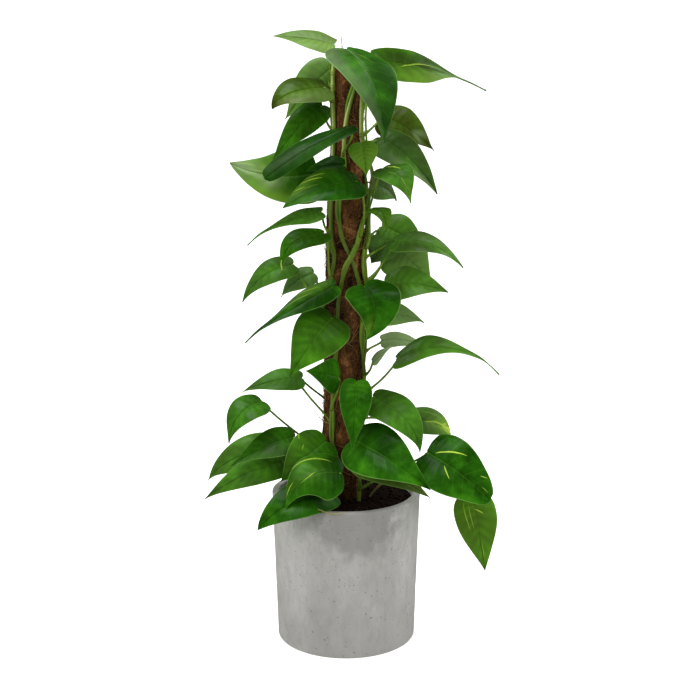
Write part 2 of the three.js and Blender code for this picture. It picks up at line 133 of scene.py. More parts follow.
def add_node(tree: Tree, kind: str, inputs: dict | None = None,
             **settings: object) -> bpy.types.Node:
    """Adds a shader node with its settings, values and links.

    Args:
        tree: The material's node tree.
        kind: The node's type name, without its ShaderNode prefix.
        inputs: Socket name or number to a value, or to the output that feeds it.
        **settings: Properties of the node itself.

    Returns:
        The new node.
    """
    made = tree.nodes.new("ShaderNode" + kind)
    for key, value in settings.items():
        setattr(made, key, value)
    for key, value in (inputs or {}).items():
        if isinstance(value, Socket):
            tree.links.new(value, made.inputs[key])
        else:
            made.inputs[key].default_value = value
    return made


def add_ramp(tree: Tree, factor: Socket,
             stops: Sequence[tuple[float, str]]) -> Socket:
    """Adds a colour ramp.

    Args:
        tree: The material's node tree.
        factor: What drives the ramp.
        stops: Positions from 0 to 1, each with a hex colour.

    Returns:
        The ramp's colour output.
    """
    ramp = add_node(tree, "ValToRGB", {"Fac": factor})
    elements = ramp.color_ramp.elements
    while len(elements) < len(stops):
        elements.new(0.5)
    for element, (position, colour) in zip(elements, stops):
        element.position = position
        element.color = linear(colour)
    return ramp.outputs["Color"]


def new_material(name: str) -> tuple[Material, Tree]:
    """Makes an empty node material.

    Args:
        name: The finish, in a maker's words.

    Returns:
        The material and its node tree.
    """
    material = bpy.data.materials.new(name)
    material.use_nodes = True
    material.node_tree.nodes.clear()
    return material, material.node_tree


def close_material(tree: Tree, inputs: dict, height: Socket,
                   depth_mm: float) -> None:
    """Ends a material in its shader, with a bump.

    Args:
        tree: The material's node tree.
        inputs: The shader's sockets.
        height: The bump's height, from 0 to 1.
        depth_mm: How deep the bump is, in millimetres.
    """
    bump = add_node(tree, "Bump", {"Strength": 1.0, "Distance": depth_mm * MM, "Height": height})
    shader = add_node(tree, "BsdfPrincipled", {**inputs, "Normal": bump.outputs[0]})
    add_node(tree, "OutputMaterial", {"Surface": shader.outputs[0]})


def object_place(tree: Tree) -> Socket:
    """Adds a node that gives places on the object, in metres."""
    return add_node(tree, "TexCoord").outputs["Object"]


def level(tree: Tree) -> Socket:
    """Adds nodes that give heights on the object, in metres."""
    return add_node(tree, "SeparateXYZ", {0: object_place(tree)}).outputs[2]


def object_noise(tree: Tree, size_mm: float, detail: float = 4.0,
                 stretch: tuple[float, float, float] = (1, 1, 1),
                 roughness: float = 0.55) -> Socket:
    """Adds noise on object coordinates whose lumps have a real size.

    Args:
        tree: The material's node tree.
        size_mm: How far apart the lumps stand.
        detail: How many finer layers it has.
        stretch: Scale along each axis; below 1 the lumps are longer that way.
        roughness: How strong the finer layers are.

    Returns:
        The noise's value output.
    """
    placed = add_node(tree, "Mapping", {"Vector": object_place(tree), "Scale": stretch})
    texture = add_node(tree, "TexNoise", {
        "Vector": placed.outputs[0], "Scale": 1 / (size_mm * MM), "Detail": detail,
        "Roughness": roughness,
    })
    return texture.outputs["Fac"]


def maths(tree: Tree, operation: str, *values: object,
          clamp: bool = False) -> Socket:
    """Adds a Math node.

    Args:
        tree: The material's node tree.
        operation: The operation's name.
        *values: Its values or the outputs that feed it.
        clamp: Whether the result stays from 0 to 1.

    Returns:
        The result.
    """
    return add_node(tree, "Math", dict(enumerate(values)), operation=operation,
                    use_clamp=clamp).outputs[0]


def step(tree: Tree, value: object, low: object, high: object,
         start: float = 0.0, end: float = 1.0) -> Socket:
    """Adds a smooth step from one level to another.

    Args:
        tree: The material's node tree.
        value: What is stepped.
        low: Where the step starts.
        high: Where it ends.
        start: The result below low.
        end: The result above high.

    Returns:
        The stepped value.
    """
    return add_node(tree, "MapRange", {
        "Value": value, "From Min": low, "From Max": high, "To Min": start, "To Max": end,
    }, interpolation_type="SMOOTHSTEP").outputs["Result"]


def tint(tree: Tree, body: Socket, share: object,
         code: str) -> Socket:
    """Adds a mix that brings another colour into one.

    Args:
        tree: The material's node tree.
        body: The colour so far.
        share: How much of the other colour comes in.
        code: The other colour, as six hex digits.

    Returns:
        The mixed colour.
    """
    mix = add_node(tree, "Mix", {0: share, 6: body, 7: linear(code)}, data_type="RGBA")
    return mix.outputs[2]


def blade_places(tree: Tree) -> tuple[Socket, ...]:
    """Adds nodes that say where on a leaf's blade each point lies.

    Args:
        tree: The material's node tree.

    Returns:
        The row; the place across, from -1 to 1; how far out from the midrib that is; and how
        far from the middle between two side veins, in vein spacings.
    """
    seat = add_node(tree, "UVMap", uv_map="veins").outputs[0]
    split = add_node(tree, "SeparateXYZ", {0: seat})
    row = maths(tree, "MULTIPLY", split.outputs[0], float(LAST_ROW))
    across = maths(tree, "MULTIPLY_ADD", split.outputs[1], 2.0, -1.0)
    beat = maths(tree, "FRACT", maths(tree, "DIVIDE", row, VEIN_SPACING))
    from_vein = maths(tree, "ABSOLUTE", maths(tree, "SUBTRACT", beat, 0.5))
    return row, across, maths(tree, "ABSOLUTE", across), from_vein


@dataclass(frozen=True)
class CastConcrete:
    """Grey cement cast in a mould: matt, blotched, with pinholes left by air bubbles."""

    light: str = "c8c7c3"
    middle: str = "bbbab5"
    dark: str = "aeada8"
    darker_patch: str = "7f7e7a"
    grit: str = "8a8a86"
    cloud: str = "969590"
    painted_foot_shade: str = "85847f"
    pinhole_shade: str = "6c6b66"
    blotch_mm: float = 45.0
    cloud_mm: float = 9.0
    grain_mm: float = 1.6
    pinhole_mm: float = 7.0
    relief_mm: float = 0.45

    def from_patch(self, tree: Tree, location: tuple[float, float, float],
                   scale: tuple[float, float, float]) -> Socket:
        """Adds nodes that measure how far each point lies from a patch's middle.

        Args:
            tree: The material's node tree.
            location: What moves the patch's middle, once scaled, to the origin.
            scale: How many patch sizes make a metre, along each axis.

        Returns:
            The distance, in patch sizes.
        """
        patch = add_node(tree, "Mapping", {
            "Vector": object_place(tree), "Location": location, "Scale": scale,
        }, vector_type="POINT")
        return add_node(tree, "VectorMath", {0: patch.outputs[0]},
                        operation="LENGTH").outputs["Value"]

    def material(self) -> Material:
        """Makes the material.

        Returns:
            The material.
        """
        material, tree = new_material("cast concrete")
        blotch = object_noise(tree, self.blotch_mm, 5, (1, 1, 0.55), 0.62)
        grain = object_noise(tree, self.grain_mm, 3)
        body = add_ramp(tree, blotch, [(0.3, self.dark), (0.52, self.middle), (0.72, self.light)])
        speck = step(tree, grain, 0.42, 0.7)
        body = tint(tree, body, maths(tree, "MULTIPLY", speck, 0.16), self.grit)
        cloud = object_noise(tree, self.cloud_mm, 4, (1, 1, 0.4), 0.65)
        body = tint(tree, body, step(tree, cloud, 0.44, 0.68, 0.0, 0.3), self.cloud)
        # A darker patch under the rim, towards the front right.
        away = self.from_patch(tree, (-0.2, 1.15, -2.6), (11, 11.5, 13))
        wander = maths(tree, "MULTIPLY_ADD", object_noise(tree, 22, 4), 1.1, away)
        body = tint(tree, body, step(tree, wander, 1.0, 1.5, 0.62, 0.0), self.darker_patch)
        # Below it the front of the wall is darker too.
        away = self.from_patch(tree, (0.0, 1.0, -0.5), (13, 10, 5))
        body = tint(tree, body, step(tree, away, 0.3, 1.15, 0.26, 0.0), self.darker_patch)
        # Painted shade: the wall is darker towards its foot.
        body = tint(tree, body, step(tree, level(tree), 0.0, 0.13, 0.32, 0.0), self.painted_foot_shade)
        # Pinholes of different sizes, darkened with painted shade: where the noise is low there
        # are none.
        holes = add_node(tree, "TexVoronoi", {
            "Vector": object_place(tree), "Scale": 1 / (self.pinhole_mm * MM), "Randomness": 1.0,
        })
        size = maths(tree, "MULTIPLY_ADD", object_noise(tree, 14, 2), 0.42, -0.08)
        pit = step(tree, holes.outputs["Distance"], maths(tree, "MULTIPLY", size, 0.6), size,
                   1.0, 0.0)
        body = tint(tree, body, maths(tree, "MULTIPLY", pit, 0.6), self.pinhole_shade)
        height = maths(tree, "MULTIPLY_ADD", grain, 0.35, maths(tree, "MULTIPLY", pit, -0.9))
        height = maths(tree, "MULTIPLY_ADD", blotch, 0.5, height)
        rough = step(tree, blotch, 0.3, 0.7, 0.78, 0.9)
        close_material(tree, {"Base Color": body, "Roughness": rough,
                              "Specular IOR Level": 0.35}, height, self.relief_mm)
        return material


@dataclass(frozen=True)
class PottingMix:
    """Moist peat and bark: nearly black, matt, with paler flecks."""

    dark: str = "110703"
    middle: str = "23130a"
    pale: str = "432a17"
    lump_mm: float = 5.0
    crumb_mm: float = 1.4
    relief_mm: float = 1.2

    def material(self) -> Material:
        """Makes the material.

        Returns:
            The material.
        """
        material, tree = new_material("moist potting mix")
        lumps = object_noise(tree, self.lump_mm, 5)
        crumbs = object_noise(tree, self.crumb_mm, 3)
        body = add_ramp(tree, lumps, [(0.35, self.dark), (0.6, self.middle), (0.8, self.pale)])
        height = maths(tree, "MULTIPLY_ADD", crumbs, 0.5, lumps)
        close_material(tree, {"Base Color": body, "Roughness": 0.92,
                              "Specular IOR Level": 0.12}, height, self.relief_mm)
        return material


@dataclass(frozen=True)
class CoirFibre:
    """Coconut fibre wound round a stick: brown and hairy, with painted shade in dark gaps."""

    gap_shade: str = "110a04"
    foot_dark: str = "190e04"
    shadow: str = "1f1106"
    dark: str = "4f3118"
    body: str = "7e532b"
    worn: str = "b88051"
    patch_mm: float = 22.0
    gap_mm: float = 24.0
    strand_mm: float = 2.2
    cross_mm: float = 3.4
    darkest_below: float = 0.22
    plain_above: float = 0.3
    relief_mm: float = 2.2

    def material(self) -> Material:
        """Makes the material.

        Returns:
            The material.
        """
        material, tree = new_material("coconut fibre")
        patch = object_noise(tree, self.patch_mm, 4, (1, 1, 0.6), 0.6)
        strand = object_noise(tree, self.strand_mm, 4, (1, 1, 0.16), 0.7)
        cross = object_noise(tree, self.cross_mm, 3, (0.5, 0.5, 1.0), 0.6)
        weave = maths(tree, "MULTIPLY_ADD", cross, 0.45, maths(tree, "MULTIPLY", strand, 0.75))
        tone = maths(tree, "MULTIPLY_ADD", patch, 1.25,
                     maths(tree, "MULTIPLY_ADD", weave, 0.6, -0.54))
        body = add_ramp(tree, tone, [(0.26, self.shadow), (0.43, self.dark), (0.55, self.body),
                                     (0.7, self.worn)])
        # Painted shade: dark gaps between the fibres, where light doesn't reach in.
        gap_shade = object_noise(tree, self.gap_mm, 3, (1, 1, 0.35))
        body = tint(tree, body, step(tree, gap_shade, 0.57, 0.67, 0.0, 0.7), self.gap_shade)
        # The foot of the pole, near the soil, is darker.
        darker_foot = step(tree, level(tree), self.darkest_below, self.plain_above, 0.7, 0.0)
        body = tint(tree, body, darker_foot, self.foot_dark)
        close_material(tree, {"Base Color": body, "Roughness": 0.95,
                              "Specular IOR Level": 0.2}, weave, self.relief_mm)
        return material


@dataclass(frozen=True)
class LooseFibre:
    """Single coconut fibres, each with its own shade of brown."""

    dark: str = "3c2713"
    middle: str = "764d26"
    worn: str = "966a3a"
    pale: str = "bb9052"
    grain_mm: float = 1.5
    relief_mm: float = 0.1

    def material(self) -> Material:
        """Makes the material.

        Returns:
            The material.
        """
        material, tree = new_material("loose coconut fibre")
        shade = add_node(tree, "Attribute", attribute_name="shade").outputs["Fac"]
        body = add_ramp(tree, shade, [(0.0, self.dark), (0.55, self.middle), (0.85, self.worn),
                                      (1.0, self.pale)])
        grain = object_noise(tree, self.grain_mm, 2)
        close_material(tree, {"Base Color": body, "Roughness": 0.8,
                              "Specular IOR Level": 0.3}, grain, self.relief_mm)
        return material


@dataclass(frozen=True)
class TurnedSoftwood:
    """The bare end of the stick inside the pole, with its growth rings."""

    pale: str = "c9a070"
    dark: str = "9c7547"
    ring_mm: float = 6.0
    relief_mm: float = 0.15

    def material(self) -> Material:
        """Makes the material.

        Returns:
            The material.
        """
        material, tree = new_material("turned softwood")
        rings = add_node(tree, "TexWave", {
            "Vector": object_place(tree), "Scale": 1 / (self.ring_mm * MM), "Distortion": 3.0,
            "Detail": 3.0, "Detail Scale": 0.4,
        }, wave_type="RINGS", rings_direction="Z").outputs["Fac"]
        body = add_ramp(tree, rings, [(0.2, self.dark), (0.8, self.pale)])
        close_material(tree, {"Base Color": body, "Roughness": 0.7}, rings, self.relief_mm)
        return material


@dataclass(frozen=True)
class LivingStem:
    """Skin of a living stem: yellow green and satin, ribbed along its length."""

    name: str
    green: str
    ripe: str
    bark: str
    groove: str = "3f5a12"
    painted_highlight: str = "c2cd84"
    olive: str = "364a04"
    mottle_mm: float = 16.0
    rib_mm: float = 1.3
    relief_mm: float = 0.35
    rough: float = 0.42
    shaded: float = 0.0
    shaded_below: float = 0.58
    lit_above: float = 0.66

    def material(self) -> Material:
        """Makes the material.

        Returns:
            The material.
        """
        material, tree = new_material(self.name)
        mottle = object_noise(tree, self.mottle_mm, 4, (1, 1, 0.35))
        rib = object_noise(tree, self.rib_mm, 2, (1, 1, 0.05))
        body = add_ramp(tree, mottle, [(0.34, self.green), (0.58, self.ripe)])
        shade = add_node(tree, "Attribute", attribute_name="shade").outputs["Fac"]
        body = tint(tree, body, step(tree, rib, 0.42, 0.7, 0.0, 0.4), self.groove)
        # Below 0 the shade says how much painted highlight the skin has, and above 0 how much
        # bark it has.
        body = tint(tree, body, step(tree, shade, -1.0, 0.0, 0.8, 0.0), self.painted_highlight)
        body = tint(tree, body, maths(tree, "MAXIMUM", shade, 0.0), self.bark)
        # Painted shade: below the crown, where the leaves shade it, the skin is darkened towards
        # olive.
        lower = step(tree, level(tree), self.shaded_below, self.lit_above, self.shaded, 0.0)
        body = tint(tree, body, lower, self.olive)
        close_material(tree, {"Base Color": body, "Roughness": self.rough,
                              "Specular IOR Level": 0.22}, rib, self.relief_mm)
        return material


@dataclass(frozen=True)
class Streak:
    """A pale streak along a side vein, from one (row, across) to another; its width in mm."""

    start: tuple[float, float]
    end: tuple[float, float]
    width: float = 2.2
    strength: float = 0.85
    hair: float = 0.12
    fray: float = 0.9

    def share(self, tree: Tree, spot: Socket,
              scale: tuple[float, float], ragged: Socket) -> Socket:
        """Adds nodes that give the streak's share of the colour.

        Args:
            tree: The material's node tree.
            spot: The place on the flattened blade, in millimetres.
            scale: Millimetres for one row and for the blade's half width.
            ragged: Noise from 0 to 1 that frays the streak's outline.

        Returns:
            The share, from 0 to the strength.
        """
        ends = [np.array([p[0] * scale[0], p[1] * scale[1], 0.0]) for p in (self.start, self.end)]
        run = ends[1] - ends[0]
        reach = float(run @ run)
        along = add_node(tree, "VectorMath", {0: spot, 1: tuple(ends[0])}, operation="SUBTRACT")
        down = add_node(tree, "VectorMath", {0: along.outputs[0], 1: tuple(run)},
                        operation="DOT_PRODUCT").outputs["Value"]
        part = maths(tree, "DIVIDE", down, reach, clamp=True)
        foot = add_node(tree, "VectorMath", {0: tuple(run), "Scale": part}, operation="SCALE")
        away = add_node(tree, "VectorMath", {0: along.outputs[0], 1: foot.outputs[0]},
                        operation="DISTANCE").outputs["Value"]
        # The streak is a spindle: widest in the middle and drawn out to both ends.
        belly = maths(tree, "MULTIPLY", maths(tree, "MULTIPLY", part, 4.0),
                      maths(tree, "SUBTRACT", 1.0, part))
        half = maths(tree, "MULTIPLY_ADD", belly, self.width * 0.5, self.hair)
        frayed = maths(tree, "MULTIPLY_ADD", ragged, self.fray, maths(tree, "DIVIDE", away, half))
        return step(tree, frayed, 0.7, 1.6, self.strength, 0.0)


@dataclass(frozen=True)
class GlossyBlade:
    """The upper side of a pothos leaf: waxy green, veins sunken, streaked with yellow."""

    deep: str = "153f00"
    mid: str = "245c03"
    fresh: str = "3a7a0c"
    vein: str = "6c9e34"
    streak: str = "b8d84c"
    young: str = "83b336"
    painted_sheen: str = "9db182"
    olive: str = "6f6228"
    painted_shade: str = "0c2c02"
    rim: str = "97bd66"
    broad_mm: float = 38.0
    cell_mm: float = 4.5
    fray_mm: float = 3.0
    grain_mm: float = 1.1
    side_vein_share: float = 0.09
    midrib_share: float = 0.13
    rim_share: float = 0.3
    relief_mm: float = 0.22

    def flecks(self, tree: Tree, row: Socket,
               across: Socket, yellow: Socket,
               seed: Socket) -> Socket:
        """Adds nodes for the faint flecks that run out along the side veins of every leaf.

        Args:
            tree: The material's node tree.
            row: The row on the blade.
            across: The place across it.
            yellow: How yellow the blade is; there are more flecks where it is higher.
            seed: What sets one leaf's flecks apart from another's.

        Returns:
            The flecks' share of the colour.
        """
        lengthwise = add_node(tree, "CombineXYZ", {
            0: maths(tree, "MULTIPLY", row, 4.6), 1: maths(tree, "MULTIPLY", across, 1.1),
            2: maths(tree, "MULTIPLY", seed, 40.0),
        })
        dash = add_node(tree, "TexNoise", {
            "Vector": lengthwise.outputs[0], "Scale": 1.2, "Detail": 3.0, "Roughness": 0.55,
        }).outputs["Fac"]
        edge = maths(tree, "SUBTRACT", 0.84, maths(tree, "MULTIPLY", yellow, 0.6))
        flecked = step(tree, dash, edge, maths(tree, "ADD", edge, 0.16))
        return maths(tree, "MULTIPLY", flecked, step(tree, yellow, 0.25, 0.8, 0.35, 0.9))

    def material(self, name: str, streaks: Sequence[Streak],
                 scale: tuple[float, float]) -> Material:
        """Makes the material.

        Args:
            name: The material's name.
            streaks: The streaks that lie in known places.
            scale: Millimetres for one row and for the blade's half width.

        Returns:
            The material.
        """
        material, tree = new_material(name)
        row, across, out, from_vein = blade_places(tree)
        paint = add_node(tree, "Attribute", attribute_name="paint")
        yellow, pale, shade = add_node(tree, "SeparateColor", {
            0: paint.outputs["Color"],
        }).outputs
        # The cast attribute holds the painted sheen and the olive tint.
        cast = add_node(tree, "Attribute", attribute_name="cast")
        painted_sheen, olive, _ = add_node(tree, "SeparateColor", {0: cast.outputs["Color"]}).outputs

        # Cell-sized mottling in the wax, and broad changes from leaf to leaf.
        broad = object_noise(tree, self.broad_mm, 3)
        fine = object_noise(tree, self.cell_mm, 4)
        tone = maths(tree, "MULTIPLY_ADD", fine, 0.14, maths(tree, "MULTIPLY", broad, 0.9))
        body = add_ramp(tree, tone, [(0.4, self.deep), (0.55, self.mid), (0.71, self.fresh)])
        # The pale share brings in the young colour: partly paler tissue, partly painted highlight
        # from the light patches.
        body = tint(tree, body, pale, self.young)
        body = tint(tree, body, olive, self.olive)

        # Sunken veins, and darker valleys between them that fade towards the rim.
        side_vein = maths(tree, "MULTIPLY", step(tree, from_vein, 0.0, 0.075, 1.0, 0.0),
                          step(tree, out, 0.55, 0.95, 1.0, 0.0))
        midrib = step(tree, out, 0.012, 0.05, 1.0, 0.0)
        valley = maths(tree, "MULTIPLY", step(tree, from_vein, 0.12, 0.5, 0.0, 0.24),
                       step(tree, out, 0.3, 1.0, 1.0, 0.2))
        body = tint(tree, body, valley, self.deep)
        for vein, share in ((side_vein, self.side_vein_share), (midrib, self.midrib_share)):
            body = tint(tree, body, maths(tree, "MULTIPLY", vein, share), self.vein)

        flecks = self.flecks(tree, row, across, yellow, paint.outputs["Alpha"])
        body = tint(tree, body, flecks, self.streak)
        spot = add_node(tree, "CombineXYZ", {
            0: maths(tree, "MULTIPLY", row, scale[0]),
            1: maths(tree, "MULTIPLY", across, scale[1]),
        }).outputs[0]
        ragged = object_noise(tree, self.fray_mm, 3)
        for streak in streaks:
            body = tint(tree, body, streak.share(tree, spot, scale, ragged), self.streak)
        body = tint(tree, body, step(tree, out, 0.955, 0.99, 0.0, self.rim_share), self.rim)
        # Painted sheen: a whitish grey green, a painted reflection of the bright surroundings.
        body = tint(tree, body, painted_sheen, self.painted_sheen)
        # Painted shade: the blade is darkened where it lies under other leaves or in its own
        # fold.
        body = tint(tree, body, shade, self.painted_shade)

        quilt = maths(tree, "MULTIPLY", side_vein, -0.3)
        height = maths(tree, "MULTIPLY_ADD", midrib, -0.7, quilt)
        grain = object_noise(tree, self.grain_mm, 2)
        height = maths(tree, "MULTIPLY_ADD", grain, 0.08, height)
        height = maths(tree, "MULTIPLY_ADD", fine, 0.12, height)
        rough = step(tree, fine, 0.3, 0.7, 0.3, 0.38)
        close_material(tree, {"Base Color": body, "Roughness": rough, "IOR": 1.45,
                              "Specular IOR Level": 0.11}, height, self.relief_mm)
        return material


@dataclass(frozen=True)
class MattUnderside:
    """The lower side of a pothos leaf: paler and duller, with its veins standing out."""

    body: str = "5f8f3a"
    pale: str = "86ad58"
    vein: str = "a9c77a"
    cell_mm: float = 6.0
    vein_share: float = 0.6
    relief_mm: float = 0.5

    def material(self) -> Material:
        """Makes the material.

        Returns:
            The material.
        """
        material, tree = new_material("waxy leaf, lower side")
        _, _, out, from_vein = blade_places(tree)
        side_vein = step(tree, from_vein, 0.0, 0.09, 1.0, 0.0)
        midrib = step(tree, out, 0.02, 0.07, 1.0, 0.0)
        veins = maths(tree, "MAXIMUM", midrib, maths(tree, "MULTIPLY", side_vein, 0.45))
        fine = object_noise(tree, self.cell_mm, 4)
        body = add_ramp(tree, fine, [(0.3, self.body), (0.75, self.pale)])
        body = tint(tree, body, maths(tree, "MULTIPLY", veins, self.vein_share), self.vein)
        close_material(tree, {"Base Color": body, "Roughness": 0.5, "IOR": 1.45}, veins,
                       self.relief_mm)
        return material


@dataclass(frozen=True)
class StudioPaper:
    """Matt white background paper, lit from behind so that it stays white."""

    tone: str = "f0f0ef"
    light: str = "f3f3f2"
    glow: float = 0.45
    fibre_mm: float = 40.0
    relief_mm: float = 0.02

    def material(self) -> Material:
        """Makes the material.

        Returns:
            The material.
        """
        material, tree = new_material("white background paper")
        fibre = object_noise(tree, self.fibre_mm, 3)
        body = add_ramp(tree, fibre, [(0.3, self.tone), (0.7, self.light)])
        close_material(tree, {"Base Color": body, "Roughness": 0.95,
                              "Specular IOR Level": 0.1, "Emission Color": (1, 1, 1, 1),
                              "Emission Strength": self.glow}, fibre, self.relief_mm)
        return material


def curve_through(rows: Array, at: Array) -> Array:
    """Gives points of a uniform Catmull-Rom curve.

    Args:
        rows: The rows of numbers that the curve runs through.
        at: Where on it, counted in rows.

    Returns:
        One row of numbers for each place.
    """
    padded = np.vstack([2 * rows[0] - rows[1], rows, 2 * rows[-1] - rows[-2]])
    first = np.clip(np.floor(at).astype(int), 0, len(rows) - 2)
    t = (at - first)[:, None]
    p0, p1, p2, p3 = (padded[first + k] for k in range(4))
    slope1, slope2, rise = (p2 - p0) / 2, (p3 - p1) / 2, p2 - p1
    return p1 + t * (slope1 + t * (3 * rise - 2 * slope1 - slope2
                                   + t * (slope1 + slope2 - 2 * rise)))


def unit(v: Array) -> Array:
    """Scales vectors, one or a list of them, to length one."""
    return v / np.maximum(np.linalg.norm(v, axis=-1, keepdims=True), 1e-9)


def smooth(value: Array, low: float, high: float) -> Array:
    """Steps smoothly from 0 at low to 1 at high."""
    t = np.clip((value - low) / (high - low), 0, 1)
    return t * t * (3 - 2 * t)


def place(bm: Mesh, points: Array) -> None:
    """Moves a mesh's vertices to points given in millimetres.

    Args:
        bm: The mesh.
        points: One point for each vertex, in order.
    """
    for vert, point in zip(bm.verts, points * MM):
        vert.co = point


def grid_places(bm: Mesh) -> tuple[Array, Array]:
    """Reads a flat two-unit grid's own coordinates, as shares from 0 to 1."""
    flat = np.array([vert.co[:2] for vert in bm.verts])
    return (flat[:, 0] + 1) / 2, (flat[:, 1] + 1) / 2


def map_faces(bm: Mesh, layer: str) -> None:
    """Writes a flat two-unit grid's own coordinates to a UV map.

    Args:
        bm: The mesh, still flat.
        layer: The UV map's name.
    """
    uv = bm.loops.layers.uv.new(layer)
    for face in bm.faces:
        for loop in face.loops:
            loop[uv].uv = ((loop.vert.co.x + 1) / 2, (loop.vert.co.y + 1) / 2)


def fill_holes(bm: Mesh) -> None:
    """Closes a mesh where it is open, and turns its faces outwards."""
    bmesh.ops.holes_fill(bm, edges=[e for e in bm.edges if e.is_boundary], sides=0)
    bmesh.ops.recalc_face_normals(bm, faces=bm.faces)


def seal(bm: Mesh) -> None:
    """Welds a mesh, closes it and shades it smooth.

    Args:
        bm: The mesh.
    """
    bmesh.ops.remove_doubles(bm, verts=bm.verts, dist=WELD)
    fill_holes(bm)
    for face in bm.faces:
        face.smooth = True


def half_section(corners: Sequence[tuple[float, float]],
                 closed: bool = False) -> Mesh:
    """Draws a half section, to be spun.

    Args:
        corners: The radius and height of each corner, in millimetres.
        closed: Whether the last corner is joined to the first.

    Returns:
        The section.
    """
    bm = bmesh.new()
    verts = [bm.verts.new((radius * MM, 0, z * MM)) for radius, z in corners]
    for pair in zip(verts, verts[1:] + (verts[:1] if closed else [])):
        bm.edges.new(pair)
    return bm


def round_corners(bm: Mesh, size: float, segments: int) -> None:
    """Rounds the corners of a half section, all but its first and last.

    Args:
        bm: The section.
        size: How much is taken off along each line, in millimetres.
        segments: How many pieces a rounding has.
    """
    bmesh.ops.bevel(bm, geom=list(bm.verts)[1:-1], affect="VERTICES", offset=size * MM,
                    offset_type="OFFSET", segments=segments, profile=0.5, material=-1)


def spin_round(bm: Mesh, steps: int) -> None:
    """Spins a half section round the upright axis into a solid.

    Args:
        bm: The section.
        steps: How many sides the solid has.
    """
    bmesh.ops.spin(bm, geom=bm.verts[:] + bm.edges[:], cent=(0, 0, 0), axis=(0, 0, 1),
                   angle=2 * math.pi, steps=steps, use_merge=True)
    seal(bm)


def tube(centres: Array, radii: Array, sides: int,
         shade: Array | None = None) -> Mesh:
    """Wraps a grid into a closed tube along a line of centres.

    Args:
        centres: The middle line, in millimetres.
        radii: The radius at each centre.
        sides: How many sides it has.
        shade: The shade at each centre, kept on the vertices.

    Returns:
        The tube.
    """
    rings = len(centres)
    bm = bmesh.new()
    bmesh.ops.create_grid(bm, x_segments=sides, y_segments=rings - 1, size=1)
    map_faces(bm, "veins")
    around, along = grid_places(bm)
    ring = np.rint(along * (rings - 1)).astype(int)
    forward = unit(np.gradient(centres, axis=0))
    # Each ring's cross-section is carried on from the last, so that the tube doesn't twist.
    across = [unit(np.cross(forward[0], ASKEW))]
    for k in range(1, rings):
        across.append(unit(across[-1] - forward[k] * np.dot(across[-1], forward[k])))
    across = np.array(across)
    second = np.cross(forward, across)
    turn = (around * 2 * math.pi)[:, None]
    radius = radii[ring][:, None]
    place(bm, centres[ring] + radius * (across[ring] * np.cos(turn)
                                        + second[ring] * np.sin(turn)))
    tone = bm.verts.layers.float.new("shade")
    if shade is not None:
        for vert, k in zip(bm.verts, ring):
            vert[tone] = shade[k]
    seal(bm)
    return bm


def pour(target: Mesh, source: Mesh, finish: int = 0) -> None:
    """Adds one mesh to another and frees it.

    Args:
        target: The mesh that grows.
        source: The mesh that is added.
        finish: The material slot of the added faces.
    """
    for face in source.faces:
        face.material_index = finish
    loose = bpy.data.meshes.new("loose")
    source.to_mesh(loose)
    source.free()
    target.from_mesh(loose)
    bpy.data.meshes.remove(loose)


def add_object(name: str, data: bpy.types.ID) -> bpy.types.Object:
    """Adds an object with a mesh, light or camera to the scene.

    Args:
        name: The object's name.
        data: The mesh, light or camera.

    Returns:
        The object.
    """
    made = bpy.data.objects.new(name, data)
    bpy.context.scene.collection.objects.link(made)
    return made


def add_mesh(bm: Mesh, name: str,
             finishes: Sequence[Material]) -> bpy.types.Object:
    """Adds an object with a finished mesh to the scene, and frees the mesh.

    Args:
        bm: The mesh, in place.
        name: The object's name.
        finishes: Its materials, in slot order.

    Returns:
        The object.
    """
    mesh = bpy.data.meshes.new(name)
    bm.to_mesh(mesh)
    bm.free()
    for finish in finishes:
        mesh.materials.append(finish)
    return add_object(name, mesh)


def stand(bm: Mesh, name: str, slot: Slot,
          finishes: Sequence[Material], *nodes: str) -> None:
    """Makes a finished piece of the object from a mesh.

    Args:
        bm: The mesh, in place.
        name: The piece's name.
        slot: The record's material slot; it is not used.
        finishes: Its materials, in slot order.
        *nodes: The frame's nodes that it stands for.
    """
    piece = add_mesh(bm, name, finishes)
    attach(piece, "root")
    if nodes:
        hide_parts(*nodes)
    LOG.info("%s: %d faces", name, len(piece.data.polygons))


@dataclass
class Pot:
    """A round, slightly tapered pot cast in concrete. Sizes are in millimetres."""

    height: float = 204.0
    rim_radius: float = 100.0
    base_radius: float = 93.4
    wall: float = 9.7
    floor: float = 14.0
    edge: float = 1.8
    turns: int = 180
    wall_rings: int = 40
    swell: float = 0.35
    even_radius: float = 80.0
    even_foot: float = 4.0

    def profile(self) -> list[tuple[float, float]]:
        """Gives the corners of the half section.

        Returns:
            Radius and height, from the underside's middle round to the floor's.
        """
        inner, inner_base = self.rim_radius - self.wall, self.base_radius - self.wall
        return [(0, 0), (self.base_radius, 0), (self.rim_radius, self.height),
                (inner, self.height), (inner_base, self.floor), (0, self.floor)]

    def mesh(self) -> Mesh:
        """Spins the section, rounds its edges and roughens the cast wall.

        Returns:
            The pot.
        """
        bm = half_section(self.profile())
        round_corners(bm, self.edge, 4)
        wall = [e for e in bm.edges
                if abs(e.verts[0].co.z - e.verts[1].co.z) > 0.5 * self.height * MM]
        bmesh.ops.subdivide_edges(bm, edges=wall, cuts=self.wall_rings)
        spin_round(bm, self.turns)
        for vert in bm.verts:
            reach = Vector((vert.co.x, vert.co.y, 0))
            if reach.length > self.even_radius * MM and vert.co.z > self.even_foot * MM:
                swell = noise.fractal(vert.co * 28, 0.6, 2.0, 3)
                vert.co += reach.normalized() * swell * self.swell * MM
        return bm

    def build(self) -> None:
        """Makes the pot."""
        stand(self.mesh(), "concrete_pot", Slot.CONCRETE, [CastConcrete().material()], "pot")


